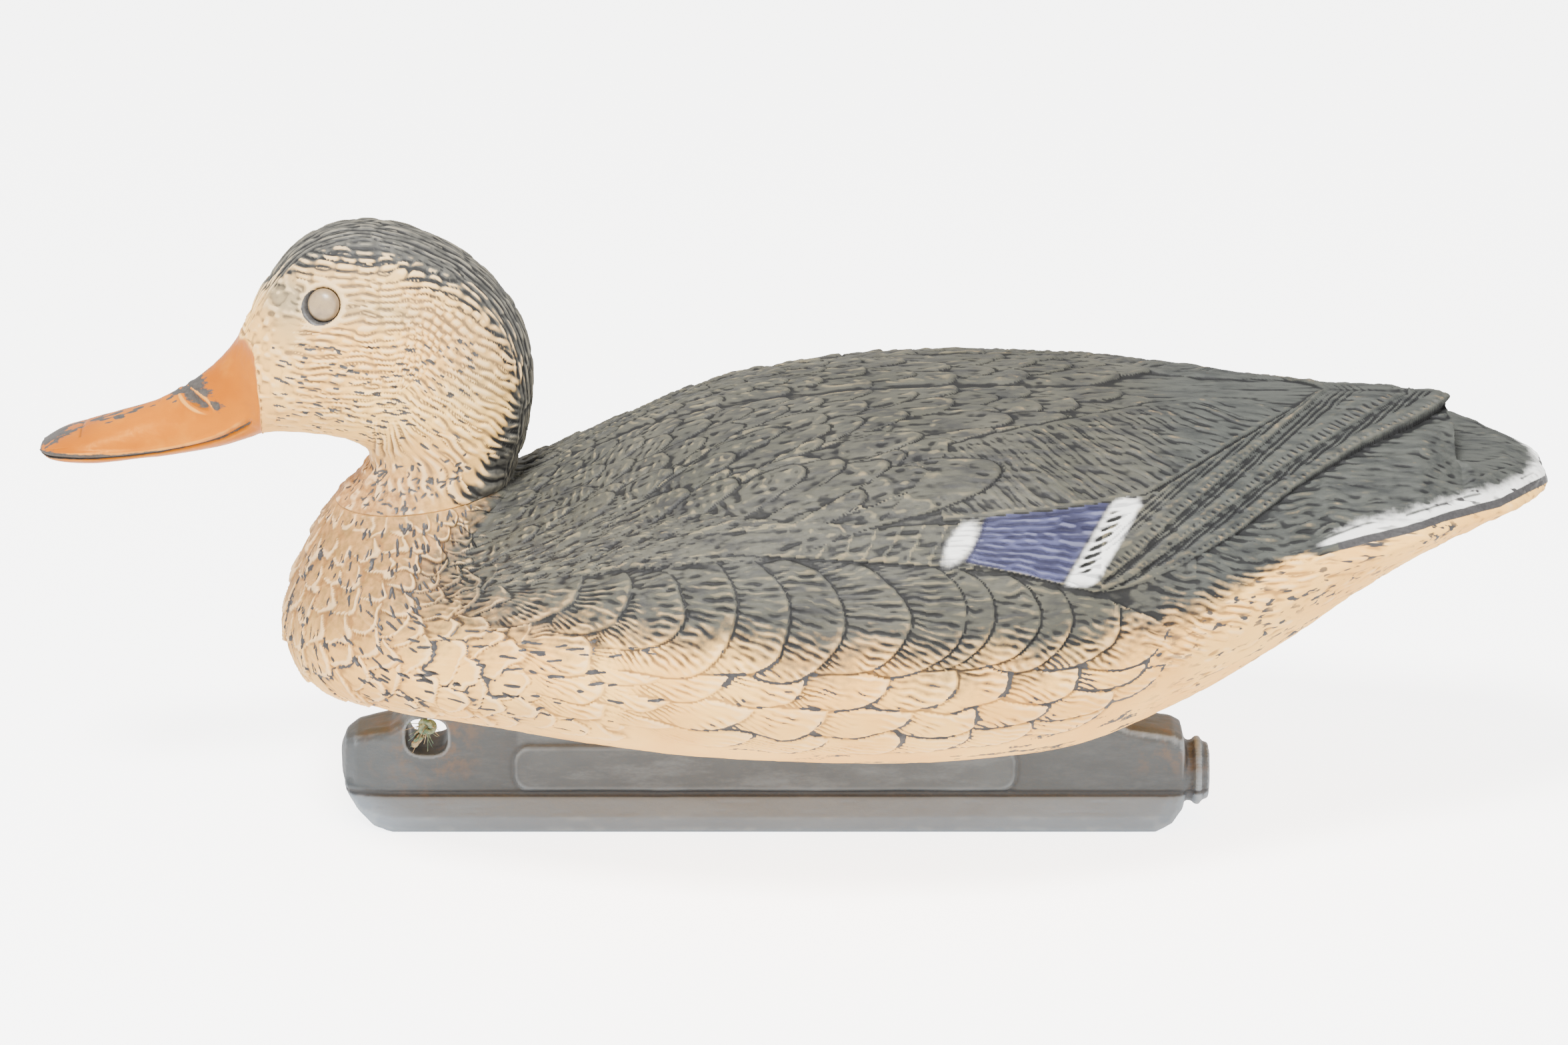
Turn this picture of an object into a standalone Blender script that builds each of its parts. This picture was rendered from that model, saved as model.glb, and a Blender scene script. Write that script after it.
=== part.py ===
"""Floating duck decoy: a hollow hen body on a weighted keel, with a head that turns on the neck.

Units are metres. The bill points to -X, the tail to +X and +Z is up. The keel's foot rests on
Z = 0, and the object is symmetric about Y = 0 apart from the loop of anchor twine.
"""

import math

import bmesh
import bpy
import numpy as np
from mathutils import Matrix, Vector

MM = 0.001

# ---------------------------------------------------------------- driving dimensions

WALL = 2.3 * MM  # blow-moulded skin
GAP = 0.3 * MM  # clearance between touching pieces
SIDES = 28  # points round a body or head section
RINGS_PER_STATION = 2

# neck seam: a circle whose plane leans forward, and the snap joint inside it
SEAM_CENTRE = Vector((-100.4, 0.0, 97.5)) * MM
SEAM_RADIUS = 24.0 * MM
SEAM_TILT = math.radians(7.0)
SOCKET_RADIUS = 19.6 * MM
SOCKET_LIP = 2.4 * MM  # thickness of the socket's inward lip
SPIGOT_RADIUS = 19.0 * MM
SNAP_RADIUS = 20.6 * MM
SNAP_HEIGHT = 2.0 * MM
SPIGOT_BORE = 16.6 * MM

# each body station: back line x, z; belly line x, z; half width; height of the widest line as
# a share of the section; fullness above and below it (2 is an ellipse), all lengths in mm
BODY_STATIONS = (
    (-76.6, 100.4, -124.2, 94.6, 24.0, 0.50, 2.0, 2.0),
    (-76.2, 100.0, -129.6, 85.6, 28.0, 0.50, 2.0, 2.0),
    (-75.6, 99.8, -134.2, 75.6, 33.0, 0.47, 1.9, 2.0),
    (-74.4, 100.0, -138.0, 65.5, 39.0, 0.44, 1.7, 2.0),
    (-71.6, 100.8, -137.8, 56.0, 45.5, 0.40, 1.55, 2.1),
    (-66.0, 103.2, -130.6, 47.6, 53.5, 0.39, 1.48, 2.1),
    (-56.0, 107.6, -113.0, 43.0, 62.5, 0.39, 1.5, 2.1),
    (-40.0, 114.0, -85.0, 39.4, 71.5, 0.40, 1.68, 2.1),
    (-16.0, 120.4, -46.0, 34.0, 79.0, 0.40, 2.15, 2.1),
    (16.0, 124.2, -4.0, 30.2, 81.5, 0.40, 2.5, 2.1),
    (48.0, 125.4, 38.0, 29.4, 79.5, 0.42, 2.6, 2.1),
    (78.0, 125.4, 74.0, 32.4, 73.0, 0.44, 2.5, 2.1),
    (104.0, 125.0, 102.0, 42.0, 63.5, 0.45, 2.2, 2.0),
    (128.0, 124.8, 127.0, 56.0, 54.5, 0.46, 1.7, 2.0),
    (149.0, 124.6, 148.0, 68.6, 47.5, 0.44, 1.4, 1.6),
    (166.0, 124.2, 165.0, 78.4, 43.0, 0.42, 1.25, 1.35),
    (176.0, 122.0, 175.0, 84.2, 38.6, 0.40, 1.2, 1.3),
    (180.0, 109.0, 180.0, 87.0, 35.6, 0.50, 1.7, 1.3),
    (192.0, 105.4, 192.0, 93.8, 24.6, 0.52, 2.0, 1.4),
    (200.0, 102.6, 200.0, 97.8, 13.0, 0.50, 2.0, 1.7),
    (203.0, 101.2, 203.0, 99.2, 5.0, 0.50, 2.0, 2.0),
)
BODY_HOLLOW_TO = 15  # last station with a cavity inside it
BODY_CREASE_STATIONS = 4  # stations whose back line stays in the crease behind the neck

# head stations in the same form, from the neck seam over the crown to the bill tip
HEAD_STATIONS = (
    (-76.6, 100.4, -124.2, 94.6, 24.0, 0.50, 2.0, 2.0),
    (-74.4, 107.2, -117.6, 101.4, 21.4, 0.50, 2.0, 2.0),
    (-72.0, 115.0, -114.8, 106.2, 20.2, 0.50, 2.0, 2.0),
    (-70.8, 124.6, -116.0, 110.0, 20.2, 0.50, 2.0, 2.0),
    (-71.2, 135.6, -120.8, 112.2, 20.8, 0.48, 2.0, 2.0),
    (-75.0, 147.6, -126.0, 113.2, 21.2, 0.47, 2.0, 2.0),
    (-84.0, 159.0, -131.0, 113.6, 21.2, 0.46, 2.0, 2.0),
    (-98.0, 168.0, -135.4, 113.8, 20.8, 0.46, 2.0, 2.0),
    (-115.0, 171.6, -139.0, 113.8, 19.6, 0.46, 2.0, 2.0),
    (-130.2, 166.8, -141.8, 113.6, 17.4, 0.45, 2.0, 2.1),
    (-141.2, 154.2, -143.8, 113.2, 14.4, 0.44, 2.0, 2.2),
    (-149.6, 138.4, -146.0, 112.4, 11.4, 0.42, 1.9, 2.3),
    (-159.0, 128.8, -154.6, 109.8, 10.2, 0.36, 1.8, 2.4),
    (-170.6, 121.8, -167.6, 107.8, 9.9, 0.32, 1.8, 2.5),
    (-182.6, 117.6, -181.0, 106.4, 10.8, 0.34, 2.0, 2.5),
    (-192.6, 114.4, -191.6, 106.2, 11.2, 0.38, 2.1, 2.5),
    (-199.6, 111.4, -199.2, 106.8, 8.6, 0.42, 2.1, 2.4),
    (-203.0, 109.6, -203.0, 107.8, 3.6, 0.50, 2.0, 2.0),
)
HEAD_HOLLOW_TO = 12

EYE_PLACE = Vector((-124.3, -16.9, 153.8)) * MM  # centre of the left eye's seat
EYE_TURN = math.radians(14.0)  # the eyes look a little forward
EYE_LIFT = math.radians(14.0)  # and a little up
EYE_RADIUS = 4.4 * MM
EYE_DOME = 2.3 * MM
EYE_STEM_RADIUS = 2.0 * MM
EYE_STEM_LENGTH = 4.6 * MM
EYE_RECESS = 0.9 * MM

# keel: x; foot height; top height; half width of foot; half width of web; crease height, in mm.
# A top height of None follows the belly.
KEEL_STATIONS = (
    (-124.6, 15.0, 22.0, 2.5, 2.0, 17.0),
    (-123.2, 9.6, 25.6, 6.6, 5.4, 14.0),
    (-120.2, 5.6, 27.4, 9.6, 7.8, 12.6),
    (-115.6, 1.4, 28.4, 11.8, 8.6, 11.6),
    (-111.0, 0.0, 29.4, 12.6, 9.0, 11.0),
    (-107.4, 0.0, 31.6, 12.8, 9.0, 11.0),
    (-104.4, 0.0, 35.8, 12.8, 9.0, 11.0),
    (-97.0, 0.0, 36.6, 12.8, 9.0, 11.0),
    (-91.0, 0.0, None, 12.8, 9.0, 11.0),
    (-64.0, 0.0, None, 12.8, 9.0, 11.0),
    (-34.0, 0.0, None, 12.8, 9.0, 11.0),
    (0.0, 0.0, None, 12.8, 9.0, 11.0),
    (34.0, 0.0, None, 12.8, 9.0, 11.0),
    (62.0, 0.0, None, 12.8, 9.0, 11.0),
    (82.0, 0.0, None, 12.8, 9.0, 11.0),
    (92.0, 0.0, 28.8, 12.8, 9.0, 11.0),
    (99.6, 0.0, 27.6, 12.6, 9.0, 11.0),
    (104.0, 2.2, 26.8, 11.6, 8.9, 11.0),
    (106.8, 5.6, 25.2, 9.8, 8.8, 11.4),
)
KEEL_WALL = 2.6 * MM
KEEL_CAVITY = (-88.0 * MM, 102.0 * MM)
KEEL_CAVITY_RINGS = 6

# filler neck at the keel's rear, turned about an axis along X: x, radius in mm, outside then in
NECK_AXIS_HEIGHT = 13.9 * MM
NECK_PROFILE = (
    (107.6, 8.4),
    (109.8, 8.4),
    (110.2, 9.5),
    (111.8, 9.5),
    (112.2, 8.2),
    (114.2, 7.7),
    (114.2, 5.9),
    (105.6, 5.9),
)
PLUG_RADIUS = 5.5 * MM
PLUG_FACE = 113.0 * MM
PLUG_TAIL = 102.4 * MM

# raised blank pad on both sides of the keel
PAD_X = (-76.8 * MM, 60.8 * MM)
PAD_Z = (11.9 * MM, 24.6 * MM)
PAD_CORNER = 4.0 * MM
PAD_PROUD = 0.8 * MM

# anchor hole through the nose of the keel
HOLE_CENTRE = Vector((-100.6, 0.0, 27.2)) * MM
HOLE_HALF_WIDTH = 5.7 * MM
HOLE_HALF_HEIGHT = 5.3 * MM
HOLE_FULLNESS = 3.0
HOLE_POINTS = 24

BALLAST_X = (-80.0 * MM, 92.0 * MM)
BALLAST_HEIGHT = 9.0 * MM
BALLAST_HALF_WIDTH = 5.9 * MM

# twine left in the anchor hole: a loop over the bridge above the hole, tied on the left side
CORD_DIAMETER = 2.0 * MM
KNOT_CENTRE = Vector((-100.2, -11.8, 31.6)) * MM
KNOT_RADII = Vector((2.9, 2.0, 2.4)) * MM
CORD_ROUTE = (
    (-101.6, -11.4, 28.8),
    (-103.6, -10.6, 26.2),
    (-103.8, -7.6, 24.8),
    (-103.4, -3.0, 24.4),
    (-103.0, 3.0, 24.4),
    (-102.6, 8.2, 25.2),
    (-101.8, 11.2, 29.0),
    (-100.6, 10.9, 34.6),
    (-100.4, 7.2, 38.0),
    (-100.2, 1.0, 38.3),
    (-100.2, -5.0, 38.2),
    (-100.2, -9.8, 37.2),
    (-100.2, -11.4, 34.8),
)
CORD_POINT_STEP = 5.0 * MM

SEAM_REAR = Vector((math.cos(SEAM_TILT), 0.0, math.sin(SEAM_TILT)))
SEAM_UP = Vector((-math.sin(SEAM_TILT), 0.0, math.cos(SEAM_TILT)))


# ---------------------------------------------------------------- shared tools


def new_collection(name):
    """Add a collection to the scene."""
    collection = bpy.data.collections.new(name)
    bpy.context.scene.collection.children.link(collection)
    return collection


def new_material(name, colour, roughness, metallic=0.0):
    """A Principled material in one colour."""
    material = bpy.data.materials.new(name)
    material.use_nodes = True
    shader = material.node_tree.nodes["Principled BSDF"]
    shader.inputs["Base Color"].default_value = (*colour, 1.0)
    shader.inputs["Roughness"].default_value = roughness
    shader.inputs["Metallic"].default_value = metallic
    return material


def add_object(name, data, material, collection):
    """Wrap mesh or curve data in a named object."""
    made = bpy.data.objects.new(name, data)
    if material is not None:
        data.materials.append(material)
    collection.objects.link(made)
    return made


def smooth_rows(rows, steps):
    """Read rows of numbers as points of a Catmull-Rom curve, with steps points a span."""
    table = np.array(rows, float)
    last = len(table) - 1
    slopes = np.gradient(table, axis=0)
    result = []
    for i in range(last):
        for k in range(steps):
            t = k / steps
            a = 2 * t**3 - 3 * t**2 + 1
            b = t**3 - 2 * t**2 + t
            c = 3 * t**2 - 2 * t**3
            d = t**3 - t**2
            result.append(
                a * table[i] + b * slopes[i] + c * table[i + 1] + d * slopes[i + 1]
            )
    result.append(table[last])
    return np.array(result)


def power(value, exponent):
    """A power that keeps the sign of its base."""
    return math.copysign(abs(value) ** exponent, value)


def section_ring(row, inset=0.0, top=None):
    """Points round one section of the body or head, starting at the top line."""
    upper = Vector((row[0], 0.0, row[1])) * MM
    lower = Vector((row[2], 0.0, row[3])) * MM
    along = (upper - lower).normalized()
    upper = top if top is not None else upper - along * inset
    lower = lower + along * inset
    half = row[4] * MM - inset
    chord = upper - lower
    centre = lower + chord * row[5]
    points = []
    for k in range(SIDES):
        angle = 2 * math.pi * k / SIDES
        lift = math.cos(angle)
        fullness = row[6] if lift > 0 else row[7]
        share = (1 - row[5]) if lift > 0 else row[5]
        side = power(math.sin(angle), 2 / fullness) * half
        rise = power(lift, 2 / fullness) * share
        points.append(centre + chord * rise + Vector((0.0, side, 0.0)))
    return points


def seam_ring(radius, height):
    """A circle about the neck's axis, at a height above the seam plane."""
    points = []
    for k in range(SIDES):
        angle = 2 * math.pi * k / SIDES
        reach = SEAM_REAR * math.cos(angle) + Vector((0.0, math.sin(angle), 0.0))
        points.append(SEAM_CENTRE + reach * radius + SEAM_UP * height)
    return points


def skin(name, rings):
    """One closed mesh through rings of equal count, with a fan over each end."""
    mesh = bpy.data.meshes.new(name)
    bm = bmesh.new()
    rows = [[bm.verts.new(p) for p in ring] for ring in rings]
    count = len(rings[0])
    for near, far in zip(rows, rows[1:]):
        for k in range(count):
            j = (k + 1) % count
            bm.faces.new((near[k], near[j], far[j], far[k]))
    for row in (rows[0], rows[-1]):
        middle = sum((v.co for v in row), Vector()) / count
        hub = bm.verts.new(middle)
        for k in range(count):
            bm.faces.new((row[k], row[(k + 1) % count], hub))
    bmesh.ops.recalc_face_normals(bm, faces=bm.faces)
    bm.to_mesh(mesh)
    bm.free()
    mesh.shade_smooth()
    mesh.set_sharp_from_angle(angle=math.radians(40.0))
    return mesh


def boolean(target, cutter, operation):
    """Leave a Boolean modifier on the target and hide the other object as a guide."""
    modifier = target.modifiers.new(cutter.name, "BOOLEAN")
    modifier.operation = operation
    modifier.object = cutter
    cutter.hide_render = True
    cutter.display_type = "WIRE"


def turned(name, profile, material, collection, steps=20):
    """A turned piece: a profile of (radius, height) from the bottom of its axis to the top."""
    mesh = bpy.data.meshes.new(name)
    bm = bmesh.new()
    verts = [bm.verts.new((radius, 0.0, height)) for radius, height in profile]
    for lower, upper in zip(verts, verts[1:]):
        bm.edges.new((upper, lower))
    bm.to_mesh(mesh)
    bm.free()
    made = add_object(name, mesh, material, collection)
    screw = made.modifiers.new("turn", "SCREW")
    screw.axis = "Z"
    screw.steps = steps
    screw.render_steps = steps
    screw.use_merge_vertices = True
    screw.merge_threshold = 0.00005
    screw.use_smooth_shade = True
    return made


def axis_frame(point, axis):
    """A matrix that puts local Z along an axis at a point."""
    turn = Vector((0.0, 0.0, 1.0)).rotation_difference(axis).to_matrix().to_4x4()
    return Matrix.Translation(point) @ turn


# ---------------------------------------------------------------- body and head


def make_body(material, collection):
    """The hollow body, open at the neck socket, whose inward lip holds the head."""
    rows = smooth_rows(BODY_STATIONS, RINGS_PER_STATION)
    outer = [section_ring(row) for row in rows[::-1]]
    socket = (
        seam_ring(SOCKET_RADIUS, 0.0),
        seam_ring(SOCKET_RADIUS, -SOCKET_LIP),
        seam_ring(SEAM_RADIUS - WALL, -SOCKET_LIP),
    )
    # behind the neck the skin's inner side steps evenly from the socket to the first free section
    start = socket[-1][0]
    first_free = BODY_CREASE_STATIONS * RINGS_PER_STATION
    goal = section_ring(rows[first_free], WALL)[0]
    inner = []
    for i in range(1, BODY_HOLLOW_TO * RINGS_PER_STATION + 1):
        top = start.lerp(goal, i / first_free) if i < first_free else None
        inner.append(section_ring(rows[i], WALL, top))
    mesh = skin("body_shell", [*outer, *socket, *inner])
    return add_object("body_shell", mesh, material, collection)


def make_head(material, collection, cutters):
    """The hollow head and bill, with the spigot that snaps into the socket, and eye seats."""
    rows = smooth_rows(HEAD_STATIONS, RINGS_PER_STATION)
    outer = [section_ring(row) for row in rows[:0:-1]]
    under = -SOCKET_LIP - GAP
    spigot = (
        seam_ring(SEAM_RADIUS, GAP),
        seam_ring(SPIGOT_RADIUS, GAP),
        seam_ring(SPIGOT_RADIUS, under),
        seam_ring(SNAP_RADIUS, under - GAP),
        seam_ring(SNAP_RADIUS, under - SNAP_HEIGHT),
        seam_ring(SPIGOT_BORE, under - SNAP_HEIGHT),
        seam_ring(SPIGOT_BORE, WALL),
    )
    first = 2 * RINGS_PER_STATION
    last = HEAD_HOLLOW_TO * RINGS_PER_STATION
    inner = [section_ring(rows[i], WALL) for i in range(first, last + 1)]
    mesh = skin("head_shell", [*outer, *spigot, *inner])
    head = add_object("head_shell", mesh, material, collection)
    for side, point, axis in eye_seats():
        seat = turned(
            f"cut_eye_{side}",
            (
                (0.0, -7.0 * MM),
                (EYE_STEM_RADIUS + GAP, -7.0 * MM),
                (EYE_STEM_RADIUS + GAP, -EYE_RECESS),
                (EYE_RADIUS + GAP, -EYE_RECESS),
                (EYE_RADIUS + GAP, 4.0 * MM),
                (0.0, 4.0 * MM),
            ),
            None,
            cutters,
        )
        seat.matrix_world = axis_frame(point, axis)
        boolean(head, seat, "DIFFERENCE")
    return head


def eye_seats():
    """Each eye's side name, the middle of its seat and the way it faces."""
    ahead = math.cos(EYE_LIFT)
    seats = []
    for side, sign in (("left", -1.0), ("right", 1.0)):
        point = Vector((EYE_PLACE.x, -sign * EYE_PLACE.y, EYE_PLACE.z))
        axis = Vector(
            (
                -math.sin(EYE_TURN) * ahead,
                sign * math.cos(EYE_TURN) * ahead,
                math.sin(EYE_LIFT),
            )
        )
        seats.append((side, point, axis))
    return seats


def make_eyes(material, collection):
    """Domed buttons with a stem pressed into the head."""
    dome = [(0.0, EYE_DOME)]
    for k in range(1, 6):
        angle = math.pi / 2 * k / 5
        dome.append((EYE_RADIUS * math.sin(angle), EYE_DOME * math.cos(angle)))
    floor = GAP - EYE_RECESS
    stem = [
        (EYE_RADIUS, floor),
        (EYE_STEM_RADIUS, floor),
        (EYE_STEM_RADIUS, floor - EYE_STEM_LENGTH),
        (0.0, floor - EYE_STEM_LENGTH),
    ]
    profile = [*stem[::-1], *dome[::-1]]
    for side, point, axis in eye_seats():
        eye = turned(f"eye_{side}", profile, material, collection)
        eye.matrix_world = axis_frame(point, axis)


# ---------------------------------------------------------------- keel


def belly_height(x):
    """Height of the belly line at x."""
    rows = smooth_rows(BODY_STATIONS, 8)
    low = rows[np.argmin(rows[:, 2]) :]
    return float(np.interp(x / MM, low[:, 2], low[:, 3])) * MM


def keel_ring(row, inset=0.0):
    """Points round one cross-section of the keel, starting at the middle of its top."""
    x, foot, top, half_foot, half_web, crease = row
    top = belly_height(x * MM) / MM - 0.45 if top is None else top
    inset = inset / MM
    top = top - inset
    foot = foot + inset
    web = half_web - inset
    flare = half_foot - inset
    edge = min(1.6, 0.3 * web)
    half = (
        (0.0, top),
        (web - 2 * edge, top),
        (web - 0.5 * edge, top - 0.4 * edge),
        (web, top - 1.4 * edge),
        (web, crease),
        (flare, max(crease - 6.0, foot + edge)),
        (flare, foot + 0.9 * edge),
        (flare - edge, foot),
        (0.0, foot),
    )
    right = [Vector((x, y, z)) * MM for y, z in half]
    left = [Vector((x, -y, z)) * MM for y, z in half[-2:0:-1]]
    return right + left


def neck_ring(x, radius, count=16):
    """A circle about the filler neck's axis."""
    points = []
    for k in range(count):
        angle = 2 * math.pi * k / count
        y = radius * math.sin(angle)
        z = radius * math.cos(angle)
        points.append(Vector((x * MM, y * MM, NECK_AXIS_HEIGHT + z * MM)))
    return points


def make_keel(material, collection, cutters):
    """The hollow keel: nose with the anchor hole, flared foot, pads and a filler neck."""
    outer = [keel_ring(row) for row in KEEL_STATIONS]
    neck = [neck_ring(x, radius) for x, radius in NECK_PROFILE]
    plain = next(row for row in KEEL_STATIONS if row[2] is None)
    inner = []
    for k in range(KEEL_CAVITY_RINGS + 1):
        x = KEEL_CAVITY[1] + (KEEL_CAVITY[0] - KEEL_CAVITY[1]) * k / KEEL_CAVITY_RINGS
        top = 24.0 if k == 0 else None
        inner.append(keel_ring((x / MM, plain[1], top, *plain[3:]), KEEL_WALL))
    mesh = skin("keel_shell", [*outer, *neck, *inner])
    keel = add_object("keel_shell", mesh, material, collection)
    for side, sign in (("left", -1.0), ("right", 1.0)):
        boolean(keel, make_pad(side, sign, cutters), "UNION")
    boolean(keel, make_hole_cutter(cutters), "DIFFERENCE")
    return keel


def flat_outline(name, points, half_depth, bevel, collection):
    """A flat outline in XZ as a mesh with thickness along Y and a small bevel."""
    curve = bpy.data.curves.new(name, "CURVE")
    curve.dimensions = "2D"
    curve.fill_mode = "BOTH"
    curve.extrude = half_depth
    spline = curve.splines.new("POLY")
    spline.points.add(len(points) - 1)
    for slot, (x, z) in zip(spline.points, points):
        slot.co = (x, z, 0.0, 1.0)
    spline.use_cyclic_u = True
    drawn = bpy.data.objects.new(name + "_outline", curve)
    collection.objects.link(drawn)
    drawn.rotation_euler = (math.pi / 2, 0.0, 0.0)
    bpy.context.view_layer.update()
    graph = bpy.context.evaluated_depsgraph_get()
    mesh = bpy.data.meshes.new_from_object(drawn.evaluated_get(graph))
    mesh.transform(drawn.matrix_world)
    bpy.data.objects.remove(drawn)
    bm = bmesh.new()
    bm.from_mesh(mesh)
    bmesh.ops.remove_doubles(bm, verts=bm.verts, dist=0.00001)
    bmesh.ops.recalc_face_normals(bm, faces=bm.faces)
    bm.to_mesh(mesh)
    bm.free()
    made = add_object(name, mesh, None, collection)
    if bevel > 0:
        edge = made.modifiers.new("edge", "BEVEL")
        edge.width = bevel
        edge.segments = 1
        edge.limit_method = "ANGLE"
        edge.angle_limit = math.radians(60.0)
    return made


def rounded_rectangle(x_span, z_span, radius, steps=4):
    """Outline points of a rectangle with round corners."""
    corners = (
        (x_span[1] - radius, z_span[1] - radius, 0.0),
        (x_span[0] + radius, z_span[1] - radius, 90.0),
        (x_span[0] + radius, z_span[0] + radius, 180.0),
        (x_span[1] - radius, z_span[0] + radius, 270.0),
    )
    points = []
    for x, z, start in corners:
        for k in range(steps + 1):
            angle = math.radians(start + 90.0 * k / steps)
            points.append(
                (x + radius * math.cos(angle), z + radius * math.sin(angle))
            )
    return points


def make_pad(side, sign, collection):
    """One raised blank pad, sunk a little into the keel's wall."""
    depth = PAD_PROUD + 0.6 * MM
    outline = rounded_rectangle(PAD_X, PAD_Z, PAD_CORNER)
    pad = flat_outline(f"join_pad_{side}", outline, depth / 2, 0.4 * MM, collection)
    web = KEEL_STATIONS[9][4] * MM
    pad.location.y = sign * (web + PAD_PROUD - depth / 2)
    return pad


def make_hole_cutter(collection):
    """The anchor hole's outline, a soft square, as a bar right through the keel."""
    points = []
    for k in range(HOLE_POINTS):
        angle = 2 * math.pi * k / HOLE_POINTS
        x = HOLE_HALF_WIDTH * power(math.cos(angle), 2 / HOLE_FULLNESS)
        z = HOLE_HALF_HEIGHT * power(math.sin(angle), 2 / HOLE_FULLNESS)
        points.append((HOLE_CENTRE.x + x, HOLE_CENTRE.z + z))
    return flat_outline("cut_anchor_hole", points, 20.0 * MM, 0.0, collection)


def make_ballast(material, collection):
    """The weight cast along the bottom of the keel."""
    size = Vector(
        (
            BALLAST_X[1] - BALLAST_X[0],
            2 * BALLAST_HALF_WIDTH,
            BALLAST_HEIGHT,
        )
    )
    floor = KEEL_WALL + GAP
    middle = Vector((sum(BALLAST_X) / 2, 0.0, floor + BALLAST_HEIGHT / 2))
    mesh = bpy.data.meshes.new("keel_ballast")
    bm = bmesh.new()
    bmesh.ops.create_cube(bm, size=1.0)
    bmesh.ops.scale(bm, vec=size, verts=bm.verts)
    bm.to_mesh(mesh)
    bm.free()
    ballast = add_object("keel_ballast", mesh, material, collection)
    ballast.location = middle
    edge = ballast.modifiers.new("edge", "BEVEL")
    edge.width = 1.2 * MM
    edge.segments = 2
    return ballast


def make_plug(material, collection):
    """The plug pressed into the filler neck."""
    length = PLUG_FACE - PLUG_TAIL
    profile = (
        (0.0, 0.0),
        (PLUG_RADIUS - 0.6 * MM, 0.0),
        (PLUG_RADIUS, 1.2 * MM),
        (PLUG_RADIUS, length),
        (PLUG_RADIUS - 1.2 * MM, length),
        (PLUG_RADIUS - 1.2 * MM, length - 1.0 * MM),
        (0.0, length - 1.0 * MM),
    )
    plug = turned("keel_plug", profile, material, collection, steps=16)
    start = Vector((PLUG_TAIL, 0.0, NECK_AXIS_HEIGHT))
    plug.matrix_world = axis_frame(start, Vector((1.0, 0.0, 0.0)))
    return plug


# ---------------------------------------------------------------- anchor twine


def make_cord(material, collection):
    """The loop of twine over the bridge, as a plain tube."""
    fine = smooth_rows(CORD_ROUTE, 12) * MM
    reach = np.concatenate(
        ([0.0], np.cumsum(np.linalg.norm(np.diff(fine, axis=0), axis=1)))
    )
    count = int(round(reach[-1] / CORD_POINT_STEP * 1.25)) + 1
    stops = np.linspace(0.0, reach[-1], count * 2)
    points = np.stack([np.interp(stops, reach, fine[:, i]) for i in range(3)], axis=1)
    curve = bpy.data.curves.new("anchor_cord", "CURVE")
    curve.dimensions = "3D"
    curve.bevel_depth = CORD_DIAMETER / 2
    curve.bevel_resolution = 2
    curve.use_fill_caps = True
    spline = curve.splines.new("POLY")
    spline.points.add(len(points) - 1)
    for slot, point in zip(spline.points, points):
        slot.co = (*point, 1.0)
    return add_object("anchor_cord", curve, material, collection)


def make_knot(material, collection):
    """The knot that closes the loop."""
    mesh = bpy.data.meshes.new("anchor_knot")
    bm = bmesh.new()
    bmesh.ops.create_uvsphere(bm, u_segments=12, v_segments=8, radius=1.0)
    bmesh.ops.scale(bm, vec=KNOT_RADII, verts=bm.verts)
    bm.to_mesh(mesh)
    bm.free()
    mesh.shade_smooth()
    knot = add_object("anchor_knot", mesh, material, collection)
    knot.location = KNOT_CENTRE
    return knot


def main():
    for existing in list(bpy.data.objects):
        bpy.data.objects.remove(existing)
    parts = new_collection("floating_duck_decoy")
    cutters = new_collection("cutters")
    painted = new_material("painted_plastic", (0.42, 0.33, 0.24), 0.62)
    charcoal = new_material("charcoal_plastic", (0.14, 0.15, 0.15), 0.55)
    eye_plastic = new_material("eye_plastic", (0.30, 0.26, 0.22), 0.45)
    lead = new_material("ballast_metal", (0.22, 0.22, 0.23), 0.5, 0.8)
    twine = new_material("twine", (0.36, 0.33, 0.22), 0.9)
    make_body(painted, parts)
    head = make_head(painted, parts, cutters)
    make_eyes(eye_plastic, parts)
    make_keel(charcoal, parts, cutters)
    make_ballast(lead, parts)
    make_plug(charcoal, parts)
    make_cord(twine, parts)
    make_knot(twine, parts)
    pivot = bpy.data.objects.new("head_pivot", None)
    parts.objects.link(pivot)
    pivot.matrix_world = axis_frame(SEAM_CENTRE, SEAM_UP)
    bpy.context.view_layer.update()
    for name in (head.name, "eye_left", "eye_right"):
        rider = bpy.data.objects[name]
        placed = rider.matrix_world.copy()
        rider.parent = pivot
        rider.matrix_parent_inverse = pivot.matrix_world.inverted()
        rider.matrix_world = placed


main()
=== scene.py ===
"""Looks for the floating duck decoy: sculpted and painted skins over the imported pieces."""

import math

import bpy
import numpy as np
from mathutils import Matrix, Vector


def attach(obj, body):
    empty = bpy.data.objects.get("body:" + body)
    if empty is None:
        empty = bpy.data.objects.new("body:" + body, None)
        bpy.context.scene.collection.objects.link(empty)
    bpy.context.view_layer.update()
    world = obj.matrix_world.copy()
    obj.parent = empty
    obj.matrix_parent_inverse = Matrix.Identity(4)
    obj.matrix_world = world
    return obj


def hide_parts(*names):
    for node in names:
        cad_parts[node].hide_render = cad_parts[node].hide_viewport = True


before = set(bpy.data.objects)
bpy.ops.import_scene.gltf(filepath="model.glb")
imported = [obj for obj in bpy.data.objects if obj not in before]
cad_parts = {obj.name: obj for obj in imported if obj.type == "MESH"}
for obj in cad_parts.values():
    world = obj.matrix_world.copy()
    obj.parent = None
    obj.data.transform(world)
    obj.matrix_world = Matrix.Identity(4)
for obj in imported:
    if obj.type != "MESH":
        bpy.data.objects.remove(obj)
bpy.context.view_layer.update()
MM = 0.001

# ---------------------------------------------------------------- sizes and places, in millimetres

# sections of the body and the head:
# top x, top z, bottom x, bottom z, half width, waist share, fullness above, fullness below

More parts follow.
